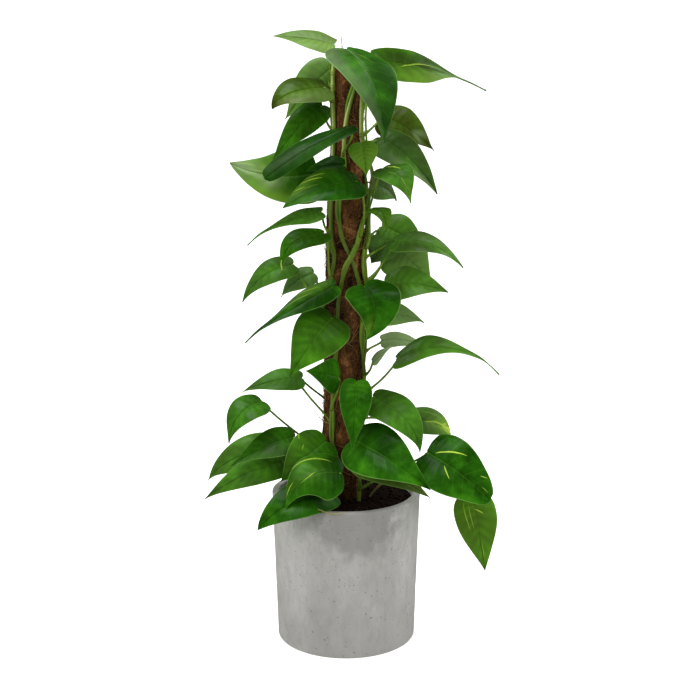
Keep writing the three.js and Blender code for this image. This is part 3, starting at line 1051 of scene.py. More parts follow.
@dataclass
class Pole:
    """A stick wound with coir, which tapers near its top and leans a little."""

    top: float = 784.0
    bottom: float = 40.0
    radius: float = 25.0
    top_radius: float = 16.0
    taper_from: float = 560.0
    axis_x: float = -5.0
    axis_z: float = 300.0
    lean: float = 0.0186
    core_radius: float = 9.0
    core_foot: float = 14.6
    core_below_top: float = 4.0
    chamfer: float = 0.8
    sides: int = 84
    up_steps: int = 190
    doublings: int = 12
    fibres_from: float = 206.0
    fibre_lengths: tuple[float, float] = (10.0, 46.0)
    fibre_radii: tuple[float, float] = (0.14, 0.4)

    def axis(self, z: Array | float) -> Array | float:
        """Gives where the pole's middle stands sideways at a height."""
        return self.axis_x + (z - self.axis_z) * self.lean

    def reach(self, z: Array | float) -> Array:
        """Gives the pole's radius at a height."""
        up = np.maximum(0, (z - self.taper_from) / (self.top - self.taper_from))
        return self.radius + (self.top_radius - self.radius) * up

    def sleeve(self) -> Mesh:
        """Wraps a grid round the stick as the coir's rough sleeve.

        Returns:
            The sleeve: its side, three rings over the top and three down inside.
        """
        last = self.up_steps + 6
        bm = bmesh.new()
        bmesh.ops.create_grid(bm, x_segments=self.sides, y_segments=last, size=1)
        map_faces(bm, "veins")
        around, along = grid_places(bm)
        step_no = np.rint(along * last).astype(int)
        z = self.bottom + (self.top - self.bottom) * np.clip(step_no / self.up_steps, 0, 1)
        inner = self.core_radius + 0.3
        rim = np.clip((step_no - self.up_steps) / 3, 0, 1)
        back = step_no > self.up_steps + 3
        z = np.where(back, self.top - (step_no - self.up_steps - 3) * 5.0, z)
        turn = around * 2 * math.pi
        radius = self.reach(z) * (1 - rim) + inner * rim
        tufts = np.array([
            noise.fractal((math.cos(t) * 2.6, math.sin(t) * 2.6, h / 34), 0.7, 2.1, 4)
            + 0.6 * noise.noise((math.cos(t) * 11, math.sin(t) * 11, h / 22))
            for t, h in zip(turn, z)])
        radius = radius + np.where(rim == 0, np.clip(tufts * 1.3, -2.2, 0.9) - 0.5, 0)
        z = z + np.where((rim > 0) & (rim < 1), 1.2 * tufts - 1, 0)
        place(bm, np.stack([self.axis(z) + radius * np.cos(turn), radius * np.sin(turn), z], 1))
        seal(bm)
        return bm

    def straight_fibres(self, rings: int, sides: int) -> Mesh:
        """Makes one straight strand, doubled many times over in the same place.

        Args:
            rings: How many rings a strand has, one unit apart.
            sides: How many sides it has.

        Returns:
            The strands, with a layer for their shade.
        """
        bm = bmesh.new()
        bmesh.ops.create_circle(bm, segments=sides, radius=1, cap_ends=False)
        edges = bm.edges[:]
        for _ in range(1, rings):
            made = bmesh.ops.extrude_edge_only(bm, edges=edges)["geom"]
            raised = [v for v in made if isinstance(v, bmesh.types.BMVert)]
            bmesh.ops.translate(bm, verts=raised, vec=(0, 0, 1))
            edges = [e for e in made if isinstance(e, bmesh.types.BMEdge)
                     and all(v in raised for v in e.verts)]
        fill_holes(bm)
        bm.verts.layers.float.new("shade")
        for _ in range(self.doublings):
            bmesh.ops.duplicate(bm, geom=bm.verts[:] + bm.edges[:] + bm.faces[:])
        return bm

    def loose_fibres(self, seed: int = 11) -> Mesh:
        """Lays loose fibres on the sleeve, each a thin three-sided strand.

        Args:
            seed: What the fibres' places are drawn from.

        Returns:
            All the fibres as one mesh.
        """
        rings, sides = 6, 3
        bm = self.straight_fibres(rings, sides)
        count = 2 ** self.doublings
        local = np.array([vert.co[:] for vert in bm.verts])
        which = np.arange(len(local)) // (rings * sides)
        t = local[:, 2] / (rings - 1)
        corner = np.arctan2(local[:, 1], local[:, 0])

        draw = np.random.default_rng(seed)
        foot = draw.uniform(self.fibres_from, self.top + 2, count)
        start = draw.uniform(0, 2 * math.pi, count)
        tilt = draw.normal(0, 0.75, count)
        upright = draw.random(count) < 0.3
        tilt = np.where(upright, math.pi / 2 + draw.normal(0, 0.4, count), tilt)
        length = draw.uniform(*self.fibre_lengths, count)
        bow = np.abs(draw.normal(0, 1, count)) * 1.2 + 0.2
        stray = draw.random(count) < 0.1
        fly = np.where(stray, draw.uniform(2, 9, count), draw.uniform(-0.3, 1.3, count))
        curl = draw.normal(0, 0.5, count)
        thick = draw.uniform(*self.fibre_radii, count)
        crown = foot > self.top - 30
        tilt = np.where(crown & (draw.random(count) < 0.35), math.pi / 2 + curl, tilt)

        def line(s: Array) -> Array:
            """Gives the middle of every strand.

            Args:
                s: How far along its strand each vertex lies, as a share.

            Returns:
                One point for each vertex, in millimetres.
            """
            bend = tilt[which] + curl[which] * s
            height = foot[which] + length[which] * s * np.sin(bend)
            turn = start[which] + length[which] * s * np.cos(bend) / self.radius
            height = np.minimum(height, self.top + 0.8 + 7 * (fly[which] > 5) * s)
            out = (self.reach(np.minimum(height, self.top)) - 0.2
                   + bow[which] * np.sin(math.pi * s) + fly[which] * s * s)
            return np.stack([self.axis(height) + out * np.cos(turn), out * np.sin(turn),
                             height], 1)

        forward = unit(line(t + 0.02) - line(t - 0.02))
        first = unit(np.cross(forward, ASKEW))
        second = np.cross(forward, first)
        radius = (thick[which] * (1 - 0.6 * t))[:, None]
        place(bm, line(t) + radius * (first * np.cos(corner)[:, None]
                                      + second * np.sin(corner)[:, None]))
        shade = np.clip(draw.beta(1.6, 2.6, count) + 0.25 * stray, 0, 1)
        tone = bm.verts.layers.float["shade"]
        for vert, k in zip(bm.verts, which):
            vert[tone] = shade[k]
        return bm

    def stick(self) -> Mesh:
        """Turns the stick inside the coir, with a small chamfer at its top.

        Returns:
            The stick.
        """
        high = self.top - self.core_below_top
        bm = half_section([(0, self.core_foot), (self.core_radius, self.core_foot),
                           (self.core_radius, high), (0, high)])
        round_corners(bm, self.chamfer, 3)
        spin_round(bm, 48)
        for vert in bm.verts:
            vert.co.x += self.axis(vert.co.z / MM) * MM
        for face in bm.faces:
            face.smooth = abs(face.normal.z) < 0.9
        return bm

    def build(self) -> None:
        """Makes the stick, its coir sleeve and the loose fibres on it."""
        stand(self.stick(), "pole_stick", Slot.POLE_WOOD, [TurnedSoftwood().material()],
              "pole_core")
        stand(self.sleeve(), "coir_wrap", Slot.COIR, [CoirFibre().material()], "coir_sleeve")
        stand(self.loose_fibres(), "coir_fibres", Slot.COIR, [LooseFibre().material()])


class StemName(Enum):
    """The four climbing stems, each named for the side of the pole where it ends."""

    LEFT = "left"
    CENTRE = "centre"
    RIGHT = "right"
    BACK = "back"


@dataclass
class Stem:
    """A stem that climbs the pole. Its route gives height, compass angle and lift."""

    name: StemName
    route: Array
    pole: Pole
    feet: list[float] = field(default_factory=list)
    radius: float = 3.2
    clearance: float = 0.5
    rim_height: float = 204.0
    sides: int = 12
    ring_spacing: float = 1.5
    joint_spacing: float = 67.0
    joint_apart: float = 20.0
    joint_swell: float = 0.7
    joint_length: float = 4.0
    taper_end: float = 5.0

    def at(self, z: Array) -> Array:
        """Gives the stem's middle at heights.

        Args:
            z: The heights, in millimetres.

        Returns:
            One point for each.
        """
        seat = np.maximum(z, self.rim_height)
        dense = curve_through(self.route, np.linspace(0, len(self.route) - 1, 6000))
        turn = np.radians(np.interp(seat, dense[:, 0], dense[:, 1]))
        lift = np.interp(seat, dense[:, 0], dense[:, 2])
        out = self.pole.reach(z) + self.clearance + self.radius + np.maximum(0, lift)
        return np.stack([self.pole.axis(seat) + out * np.sin(turn), -out * np.cos(turn), z], 1)

    def nodes(self) -> Array:
        """Spaces the joints: one at each leaf stalk, and some between.

        Returns:
            Their heights, in order.
        """
        low, high = self.rim_height + 14, float(self.route[-1][0]) - 8
        between = [z for z in np.arange(low, high, self.joint_spacing)
                   if all(abs(z - foot) > self.joint_apart for foot in self.feet)]
        return np.array(sorted(between + list(self.feet)))

    def mesh(self) -> Mesh:
        """Runs the stem up the pole, swollen and scarred at its joints.

        Returns:
            The stem.
        """
        z = np.arange(self.route[0][0], self.route[-1][0] + self.ring_spacing,
                      self.ring_spacing)
        away = np.abs(z[:, None] - self.nodes()[None, :]).min(1)
        swell = self.joint_swell * np.exp(-(away / self.joint_length) ** 2)
        wander = np.array([noise.noise((h / 31, self.radius, 7.0 + len(self.name.value)))
                           for h in z])
        radius = self.radius - 0.6 + swell + 0.25 * wander
        end = np.clip((z[-1] - z) / self.taper_end, 0, 1)
        radius = radius * np.sqrt(np.clip(1 - (1 - end) ** 2, 0.02, 1))
        bark = 0.5 * np.exp(-((away - 1.6) / 0.9) ** 2) + 0.2 * np.clip(wander * 2, 0, 1)
        bm = tube(self.at(z), radius, self.sides, np.clip(bark, 0, 1))
        # Painted highlight: the skin is paler on its side towards the front left, where the light
        # comes from, most at the top.
        window = unit(np.array([-0.86, -0.5, 0.1]))
        places = np.array([vert.co[:] for vert in bm.verts]) / MM
        facing = unit(places - self.at(places[:, 2])) @ window
        share = smooth(facing, 0.35, 0.95) * (0.45 + 0.55 * smooth(places[:, 2], 560, 700))
        tone = bm.verts.layers.float["shade"]
        for vert, lit in zip(bm.verts, share):
            vert[tone] -= lit * (1 - vert[tone])
        return bm

    def build(self, finish: Material) -> None:
        """Makes the stem."""
        name = f"stem_{self.name.value}"
        stand(self.mesh(), f"climbing_{name}", Slot.STEM, [finish], name)


@dataclass(frozen=True)
class Strand:
    """A thin stalk or fibre through a few points, in millimetres, tapering to its end."""

    points: tuple[tuple[float, float, float], ...]
    thick: float
    thin: float
    rings: int = 40
    sides: int = 8

    def mesh(self) -> Mesh:
        """Shapes the strand.

        Returns:
            The strand.
        """
        line = curve_through(np.array(self.points, float),
                             np.linspace(0, len(self.points) - 1, self.rings))
        return tube(line, np.linspace(self.thick, self.thin, self.rings), self.sides)


# Dry leaf stalks: over the front of the rim, at the pole's top, and two beside the pole.
DRY_STALKS = (
    Strand(((-46, -78, 200), (-43, -92, 209), (-35, -100, 209.5), (-24, -103.5, 206.5),
            (-12, -104, 205), (-2, -103, 206)), 1.1, 0.6),
    Strand(((-4.6, -11, 782), (-4.8, -12, 791), (-5.6, -13, 800), (-6.6, -13.5, 808)), 0.7, 0.3),
    Strand(((-22, -25, 303), (-29.5, -28, 307.5), (-37, -27.5, 315), (-43.6, -26, 324.7)),
           0.7, 0.4),
    Strand(((54.5, -52, 240), (45.9, -38, 223.8), (38.4, -26, 211.5), (30.8, -12, 197),
            (29.5, -10, 193)), 2.3, 1.0),
)

# Green stalks that carry no leaf.
SPARE_STALKS = (
    Strand(((20, -16, 744), (25.2, -28, 722), (24.8, -32, 700), (26.4, -36, 668)), 1.5, 1.4),
    Strand(((-64, 0, 353), (-47, -8, 333), (-28.1, -12, 312.2), (-22, -18, 305)), 1.5, 1.5),
)


@dataclass
class AerialRoots:
    """Short brown roots by which the stems hold on to the coir."""

    stems: dict[StemName, Stem]
    pole: Pole
    seed: int = 5
    lowest: float = 212.0
    chance: float = 0.55

    def one(self, draw: np.random.Generator, stem: Stem, z: float) -> Mesh:
        """Grows one root from a joint, round the pole and down.

        Args:
            draw: What its length, way and drop are drawn from.
            stem: The stem it grows from.
            z: The joint's height.

        Returns:
            The root.
        """
        start = stem.at(np.array([z]))[0]
        turn = math.atan2(start[1], start[0] - self.pole.axis(z))
        length = draw.uniform(7, 34)
        way = draw.choice([-1.0, 1.0])
        drop = draw.uniform(0.1, 0.8)
        s = np.linspace(0, 1, 10)
        height = z - length * drop * s ** 1.2
        angle = turn + way * length * (1 - drop * 0.4) * s / self.pole.radius
        seat = self.pole.reach(height) + 0.9 - 1.6 * s ** 3
        from_stem = math.hypot(start[0] - self.pole.axis(z), start[1])
        out = seat + (from_stem - seat) * np.clip(1 - s / 0.3, 0, 1) ** 1.5
        centres = np.stack([self.pole.axis(height) + out * np.cos(angle),
                            out * np.sin(angle), height], 1)
        radii = draw.uniform(0.8, 1.25) * (1 - 0.6 * s)
        return tube(centres, radii, 7, np.clip(0.75 - 0.5 * s, 0, 1))

    def build(self, living: Material, dry: Material,
              green: Material) -> None:
        """Makes the roots, and the stalks, dry and green, that carry no leaf.

        Args:
            living: The roots' bark.
            dry: The dry stalks' skin.
            green: The green stalks' skin.
        """
        draw = np.random.default_rng(self.seed)
        bm = bmesh.new()
        for stem in self.stems.values():
            for z in stem.nodes():
                if z > self.lowest and draw.random() < self.chance:
                    pour(bm, self.one(draw, stem, float(z)))
        stand(bm, "aerial_roots", Slot.STEM, [living])
        for name, strands, finish in (("dry_stalks", DRY_STALKS, dry),
                                      ("spare_stalks", SPARE_STALKS, green)):
            bm = bmesh.new()
            for strand in strands:
                pour(bm, strand.mesh())
            stand(bm, name, Slot.STEM, [finish])


@dataclass
class Soil:
    """Potting mix that fills the pot to a little below its rim."""

    foot: float = 14.3
    edge_z: float = 192.0
    crown_z: float = 197.0
    base_radius: float = 83.2
    edge_radius: float = 89.1
    hole: float = 25.5
    core_hole: float = 9.4
    hole_z: float = 39.7
    turns: int = 150
    rough_above: float = 150.0
    lump: float = 3.4
    crumbs: int = 420
    crumb_radii: tuple[float, float] = (0.8, 2.6)

    def height(self, radius: Array) -> Array:
        """Gives the height of the surface at distances from the middle.

        Args:
            radius: The distances, in millimetres.

        Returns:
            One height for each.
        """
        return np.interp(radius, [0, 24, 48, 72, self.edge_radius],
                         [self.crown_z, self.crown_z, self.crown_z - 1, self.edge_z + 2.5,
                          self.edge_z])

    def mesh(self, pole: Pole) -> Mesh:
        """Spins the filling round the pole and roughens its surface.

        Args:
            pole: The pole that stands in it.

        Returns:
            The filling.
        """
        ring = np.linspace(self.hole, self.edge_radius, 34)
        profile = [(self.core_hole, self.foot), (self.core_hole, self.hole_z),
                   (self.hole, self.hole_z)]
        profile += list(zip(ring, self.height(ring)))
        profile += [(self.base_radius, self.foot)]
        bm = half_section(profile, closed=True)
        spin_round(bm, self.turns)
        for vert in bm.verts:
            radius = math.hypot(vert.co.x, vert.co.y) / MM
            z = vert.co.z / MM
            inner = float(np.clip((self.edge_radius - radius) / 40, 0, 1))
            if z > self.rough_above and radius < self.edge_radius - 0.5:
                vert.co.z += noise.fractal(vert.co * 55, 0.7, 2.1, 4) * self.lump * MM
            vert.co.x += pole.axis(z) * MM * smooth(np.array([inner]), 0.2, 1.0)[0]
        return bm

    def loose_crumbs(self, seed: int = 23) -> Mesh:
        """Scatters crumbs of bark and peat over the surface.

        Args:
            seed: What their places, sizes and shapes are drawn from.

        Returns:
            All the crumbs as one mesh.
        """
        draw = np.random.default_rng(seed)
        bm = bmesh.new()
        for _ in range(self.crumbs):
            radius, turn = draw.uniform(31, 84), draw.uniform(0, 2 * math.pi)
            size = draw.uniform(*self.crumb_radii)
            made = bmesh.ops.create_icosphere(bm, subdivisions=1, radius=size * MM)["verts"]
            squash = Vector((draw.uniform(0.7, 1.4), draw.uniform(0.7, 1.4),
                             draw.uniform(0.4, 0.8)))
            bmesh.ops.scale(bm, verts=made, vec=squash)
            centre = Vector((radius * math.cos(turn), radius * math.sin(turn), 0)) * MM
            centre.z = (float(self.height(np.array([radius]))[0]) + size * 0.35) * MM
            for vert in made:
                vert.co *= 1 + 0.3 * noise.noise(vert.co * 900 + centre * 50)
            bmesh.ops.translate(bm, verts=made, vec=centre)
        return bm

    def build(self, pole: Pole) -> None:
        """Makes the potting mix and its crumbs.

        Args:
            pole: The pole that stands in it.
        """
        finish = PottingMix().material()
        stand(self.mesh(pole), "potting_mix", Slot.SOIL, [finish], "soil")
        stand(self.loose_crumbs(), "soil_crumbs", Slot.SOIL, [finish])


@dataclass(frozen=True)
class Patch:
    """A soft spot on a blade: where it is, how large, and how strong."""

    row: float
    across: float
    long: float
    wide: float
    strength: float = 1.0

    def on(self, row: Array, across: Array) -> Array:
        """Gives the spot's strength at places on the blade."""
        return self.strength * np.exp(-((row - self.row) / self.long) ** 2
                                      - ((across - self.across) / self.wide) ** 2)


@dataclass(frozen=True)
class Look:
    """How one leaf is coloured: shares of its whole, soft patches, and streaks."""

    pale: float = 0.0
    # Painted sheen: a whitish grey green share, over the whole blade and in soft patches, that
    # paints the reflection of the bright surroundings.
    painted_sheen: float = 0.0
    olive: float = 0.0
    # The deep share and the dark patches darken the blade: painted shade, where it lies under
    # other leaves or in its fold.
    deep: float = 0.0
    sheen_patches: tuple[Patch, ...] = ()
    streaks: tuple[Streak, ...] = ()
    yellow: tuple[Patch, ...] = ()
    # The light patches pale the blade: partly paler, yellower tissue, partly painted highlight
    # where the blade faces the lamps.
    light: tuple[Patch, ...] = ()
    dark: tuple[Patch, ...] = ()


@dataclass(frozen=True)
class Leaf:
    """A heart-shaped leaf on its stalk. Sizes are in millimetres, angles in degrees."""

    name: str
    stem: StemName
    foot: float
    base: tuple[float, float, float]
    tip: tuple[float, float, float]
    width: float
    lean: float
    toward: float
    arch: float
    peak: float = 0.5
    sway: float = 0.0
    twist: float = 0.0
    drip: float = 0.15
    full: float = 0.0
    hug: float = 0.8
    climb: float = 0.7
    fold: float = 14.0
    notch: float = 1.0
    curl: float = 0.0
    tail_from: float | None = None
    tail_to: float | None = None
    cup: float = 0.24
    thickness: float = 0.6
    long_steps: int = 64
    wide_steps: int = 32

    @property
    def order(self) -> int:
        """The leaf's place in the table, from 0."""
        return int(self.name[-2:]) - 1

    def ends(self) -> tuple[Array, Array, float]:
        """Gives the blade's base and tip, and how far apart they are."""
        base, tip = np.array(self.base, float), np.array(self.tip, float)
        return base, tip, float(np.linalg.norm(tip - base))

    def up(self) -> Array:
        """Works out which way the blade's upper side faces.

        Returns:
            The direction, square to the line from base to tip.
        """
        base, tip, _ = self.ends()
        along = unit(tip - base)
        lean, turn = math.radians(self.lean), math.radians(self.toward)
        leaning = np.array([math.sin(lean) * math.sin(turn), -math.sin(lean) * math.cos(turn),
                            math.cos(lean)])
        return unit(leaning - along * np.dot(leaning, along))

    def crest_and_side(self) -> tuple[Array, Array]:
        """Works out how the midrib bends and which way the blade spreads.

        Returns:
            The middle handle of the midrib's curve, and the blade's side direction.
        """
        base, tip, length = self.ends()
        along, up = (tip - base) / length, self.up()
        side = np.cross(along, up)
        crest = (base + along * self.peak * length + up * 2 * self.arch * length
                 + side * 2 * self.sway * length)
        return crest, side

    def surface(self, row: Array, across: Array) -> Array:
        """Gives points of the blade's middle surface.

        Args:
            row: Places along it, counted in rows of the outline.
            across: Places from the left edge, -1, to the right edge, 1.

        Returns:
            One point for each place.
        """
        base, tip, length = self.ends()
        crest, side0 = self.crest_and_side()
        outline = curve_through(OUTLINE, row)
        rib = curve_through(MIDRIB, row)[:, 0]
        out = np.abs(across)
        u = rib + (outline[:, 0] - rib) * out ** VEIN_SWEEP
        u = np.where(u < 0, u * self.notch, u)
        tail_from = 0.35 - 0.25 * self.drip if self.tail_from is None else self.tail_from
        tail_to = 0.85 - 0.2 * self.drip if self.tail_to is None else self.tail_to
        narrow = 1 - self.drip * smooth(u, tail_from, tail_to)
        half = self.width / 2
        fuller = self.full * smooth(row, 0, LOBE_ROWS)
        reach = half * np.maximum(0, outline[:, 1]) ** (1 - fuller) * narrow
        y = across * np.maximum(reach, LEAST_REACH)
        away = np.abs(y)
        phase = 2.4 * self.order
        wave = WAVE * self.width * out ** 2 * np.sin(1.1 * row + phase
                                                     + np.where(across > 0, 1.9, 0.0))
        folded = BASE_FOLD + (1 - BASE_FOLD) * smooth(u, FOLD_FROM, FOLD_FULL)
        rise = away * math.tan(math.radians(self.fold)) * folded
        lift = rise - self.cup * away ** 2 / half + wave
        at = np.maximum(0, u)[:, None]
        point = base * (1 - at) ** 2 + crest * 2 * at * (1 - at) + tip * at ** 2
        forward = (crest - base) * (1 - at) + (tip - crest) * at
        point = point + np.where(u[:, None] < 0, forward * 2 * u[:, None], 0.0)
        tail = np.maximum(0, (u - CURL_FROM) / (1 - CURL_FROM))
        point[:, 2] -= self.curl * length * tail ** 2
        forward = unit(forward)
        turn = math.radians(self.twist) * at
        side = (side0 * np.cos(turn) + np.cross(forward, side0) * np.sin(turn)
                + forward * (forward @ side0)[:, None] * (1 - np.cos(turn)))
        side = unit(side - forward * (side * forward).sum(1)[:, None])
        up = np.cross(side, forward)
        return point + side * y[:, None] + up * lift[:, None]

    def normals(self, row: Array, across: Array) -> Array:
        """Gives the blade's upward normals.

        Args:
            row: Places along it, counted in rows of the outline.
            across: Places across it, from -1 to 1.

        Returns:
            One direction for each place.
        """
        nudge = 0.02
        seat = np.clip(row, END_ROWS, LAST_ROW - END_ROWS)
        along = self.surface(seat + nudge, across) - self.surface(seat - nudge, across)
        wide = (self.surface(seat, np.minimum(1, across + nudge))
                - self.surface(seat, np.maximum(-1, across - nudge)))
        normal = unit(np.cross(wide, along))
        # In the notch the rows run backwards from the midrib, which would turn it over.
        return normal * np.where(normal @ self.up() < 0, -1.0, 1.0)[:, None]

    def relief(self, row: Array, across: Array) -> Array:
        """Gives the blade's relief: a sunken midrib, quilting and slow waves.

        Args:
            row: Places along it, counted in rows of the outline.
            across: Places across it, from -1 to 1.

        Returns:
            How far each place stands off the middle surface, in millimetres.
        """
        out = np.abs(across)
        half = self.width / 2
        groove = -GROOVE_DEPTH * np.exp(-(out * half / GROOVE_WIDTH) ** 2)
        beat = np.abs(np.sin(math.pi * row / VEIN_SPACING))
        quilt = QUILT * self.width * beat * np.sin(math.pi * np.clip(out, 0, 1)) ** 0.8
        quilt = quilt * smooth(row, 0.3, 1.4) * (1 - smooth(row, 6.6, 7.8))
        slow = np.array([noise.noise((r * 0.62, a * 1.7 + 5.0 * self.order, 3.0))
                         for r, a in zip(row, across)])
        return groove + quilt + SLOW_WAVE * self.width * slow * smooth(out, 0.1, 0.6)

    def paint(self, row: Array, across: Array, look: Look) -> Array:
        """Works out how each place is coloured.

        Args:
            row: Places along the blade, counted in rows of the outline.
            across: Places across it, from -1 to 1.
            look: The leaf's colouring.

        Returns:
            Each place's yellow, paleness, painted shade, seed, painted sheen and olive, from 0 to
            1.
        """
        def total(patches: tuple[Patch, ...]) -> Array:
            """Adds up soft spots."""
            return sum((p.on(row, across) for p in patches), np.zeros_like(row))

        yellow = BASE_YELLOW + total(look.yellow)
        pale = look.pale + total(look.light)
        deep = look.deep + total(look.dark)
        seed = np.full_like(row, (self.order * 0.137) % 1.0)
        painted_sheen = look.painted_sheen + total(look.sheen_patches)
        olive = np.full_like(row, look.olive)
        return np.clip(np.stack([yellow, pale, deep, seed, painted_sheen, olive], 1), 0, 1)

    def blade(self, look: Look) -> Mesh:
        """Shapes the blade from two grids, joined round their rim.

        Args:
            look: The leaf's colouring, kept on the vertices.

        Returns:
            The blade.
        """
        bm = bmesh.new()
        bmesh.ops.create_grid(bm, x_segments=self.long_steps, y_segments=self.wide_steps,
                              size=1)
        along, across = grid_places(bm)
        under = bmesh.ops.duplicate(bm, geom=bm.verts[:] + bm.edges[:] + bm.faces[:])["geom"]
        under = [f for f in under if isinstance(f, bmesh.types.BMFace)]
        bmesh.ops.reverse_faces(bm, faces=under)
        for face in under:
            face.material_index = 1
        row = np.tile(along * LAST_ROW, 2)
        across = np.tile(across * 2 - 1, 2)
        across = np.sign(across) * np.abs(across) ** 1.3
        upper = np.arange(len(row)) < len(row) // 2
        normal = self.normals(row, across)
        relief = self.relief(row, across)
        rim = smooth(np.abs(across), 0.9, 1.0)
        half = self.thickness / 2 * (1 - 0.4 * rim)
        offset = np.where(upper, relief + half, relief - half)
        ridge = RIDGE_HEIGHT * np.exp(-(np.abs(across) * self.width / 2 / RIDGE_WIDTH) ** 2)
        offset = offset - np.where(upper, 0, ridge * (1 - row / LAST_ROW))
        place(bm, self.surface(row, across) + normal * offset[:, None])
        border = [e for e in bm.edges if e.is_boundary]
        bmesh.ops.bridge_loops(bm, edges=border)
        for edge in border:
            edge.smooth = False
        veins = bm.loops.layers.uv.new("veins")
        tone = bm.verts.layers.float_color.new("paint")
        cast = bm.verts.layers.float_color.new("cast")
        bm.verts.layers.float.new("shade")
        bm.verts.index_update()
        for face in bm.faces:
            face.smooth = True
            for loop in face.loops:
                k = loop.vert.index
                loop[veins].uv = (row[k] / LAST_ROW, (across[k] + 1) / 2)
        for vert, shares in zip(bm.verts, self.paint(row, across, look)):
            vert[tone] = shares[:4]
            vert[cast] = (shares[4], shares[5], 0.0, 1.0)
        bmesh.ops.recalc_face_normals(bm, faces=bm.faces)
        return bm

    def stalk(self, stem: Stem) -> Mesh:
        """Runs the stalk from its sheath on the stem to the knee under the blade.

        Args:
            stem: The stem it leaves.

        Returns:
            The stalk.
        """
        root = stem.at(np.array([self.foot]))[0]
        base, _, length = self.ends()
        crest, _ = self.crest_and_side()
        outward = unit(np.array([root[0] - stem.pole.axis(self.foot), root[1], 0]))
        to_base = unit(np.array([base[0] - root[0], base[1] - root[1], 0]))
        leave = unit(outward * self.hug + to_base)
        start = root + leave * (stem.radius - 0.6)
        forward = unit(crest - base)
        reach = float(np.linalg.norm(base - root))
        rise = unit(np.array([leave[0], leave[1], self.climb]))
        arrive = unit(forward + np.array([0, 0, 1]))
        end = base + forward * 0.03 * length
        s = np.linspace(0, 1, 26)[:, None]
        handles = [start, start + rise * reach * 0.35, end - arrive * reach * 0.3, end]
        centres = (handles[0] * (1 - s) ** 3 + handles[1] * 3 * s * (1 - s) ** 2
                   + handles[2] * 3 * s ** 2 * (1 - s) + handles[3] * s ** 3)
        s = s[:, 0]
        # It is thick at its foot and swells again at the knee.
        radii = (STALK_RADIUS + FOOT_SWELL * np.exp(-(s / 0.14) ** 2)
                 + KNEE_SWELL * np.exp(-((s - 0.93) / 0.06) ** 2))
        radii[-1] *= 0.55
        return tube(centres, radii, 10, 0.5 * np.exp(-((s - 0.02) / 0.04) ** 2))

    def sheath(self, stem: Stem) -> Mesh:
        """Runs the stalk's winged foot down beside the stem, where it clasps it.

        Args:
            stem: The stem it clasps.

        Returns:
            The sheath.
        """
        length = SHEATH_LENGTH + SHEATH_SPREAD * ((self.order * GOLDEN) % 1.0)
        s = np.linspace(0, 1, 22)
        z = self.foot + 1.5 - length * (1 - s)
        middle = stem.at(z)
        outward = np.stack([middle[:, 0] - stem.pole.axis(z), middle[:, 1], 0 * z], 1)
        outward = unit(outward)
        sideways = np.stack([-outward[:, 1], outward[:, 0], 0 * z], 1)
        root = middle[-1]
        to_base = np.array([self.base[0] - root[0], self.base[1] - root[1], 0])
        way = 1.0 if float(np.dot(sideways[-1], to_base)) > 0 else -1.0
        apart = (SHEATH_APART * np.sin(math.pi * np.clip(s * 0.9 + 0.1, 0, 1)) ** 0.5)[:, None]
        centres = middle + sideways * way * apart + outward * 0.5
        radii = SHEATH_RADIUS * np.clip(np.sin(math.pi * (0.08 + 0.62 * s)), 0.15, 1)
        return tube(centres, radii, 9, 0.15 * (s < 0.06))

    def scale(self) -> tuple[float, float]:
        """Gives the millimetres of one row and of the blade's half width."""
        return self.ends()[2] / LAST_ROW, self.width / 2

    def build(self, stem: Stem, look: Look, finishes: Sequence[Material]) -> None:
        """Makes the leaf: its blade, stalk and sheath, as one piece.

        Args:
            stem: The stem it grows on.
            look: Its colouring.
            finishes: Its upper side, its lower side and its stalk.
        """
        bm = self.blade(look)
        pour(bm, self.stalk(stem), 2)
        if self.foot > SHEATH_FROM:
            pour(bm, self.sheath(stem), 2)
        stand(bm, f"{self.name}_blade", Slot.LEAF, finishes, self.name)


LEFT, CENTRE, RIGHT, BACK = StemName

# From the soil up: height, compass angle (0 is the front, 90 the right) and lift off the
# coir.
STEM_ROUTES = {
    LEFT: np.array([
        [164, -65, 4], [205, -65, 4], [253, -85, 1], [288, -130, 0], [342, -140, 0],
        [416, -118, 0], [440, -100, 0], [470, -60, 0], [519, -30, 0], [554, -41, 0],
        [620, -45, 0], [687, -48, 0], [735, -64, 0], [774, -73, 0]], float),
    CENTRE: np.array([
        [164, 45, 5], [205, 45, 5], [250, 55, 1], [300, 70, 0], [356, 76, 0],
        [410, 56, 0], [469, 52, 0], [502, 32, 0], [525, 14, 0], [547, -7, 0],
        [567, -16, 0], [592, -25, 0], [650, -12, 0], [700, -5, 0], [745, 23, 0],
        [770, 30, 0]], float),
    RIGHT: np.array([
        [164, -16, 8], [205, -16, 8], [253, -11, 4], [288, -31, 0], [342, -27, 0],
        [416, -18, 0], [456, -17, 0], [482, -12, 0], [509, 0, 5], [525, 12, 8.2],
        [547, 34, 1.5], [567, 50, 0], [592, 68, 2], [612, 72, 6], [634, 72, 8],
        [675, 49, 0], [724, 51, 0], [772, 75, 0]], float),
    BACK: np.array([
        [164, 150, 4], [205, 150, 4], [250, 150, 0], [300, 140, 0], [356, 120, 0],
        [410, 97, 0], [469, 78, 0], [505, 60, 0], [530, 57, 0], [548, 68, 0],
        [575, 88, 0], [600, 105, 0], [650, 130, 0], [742, 150, 0]], float),
}

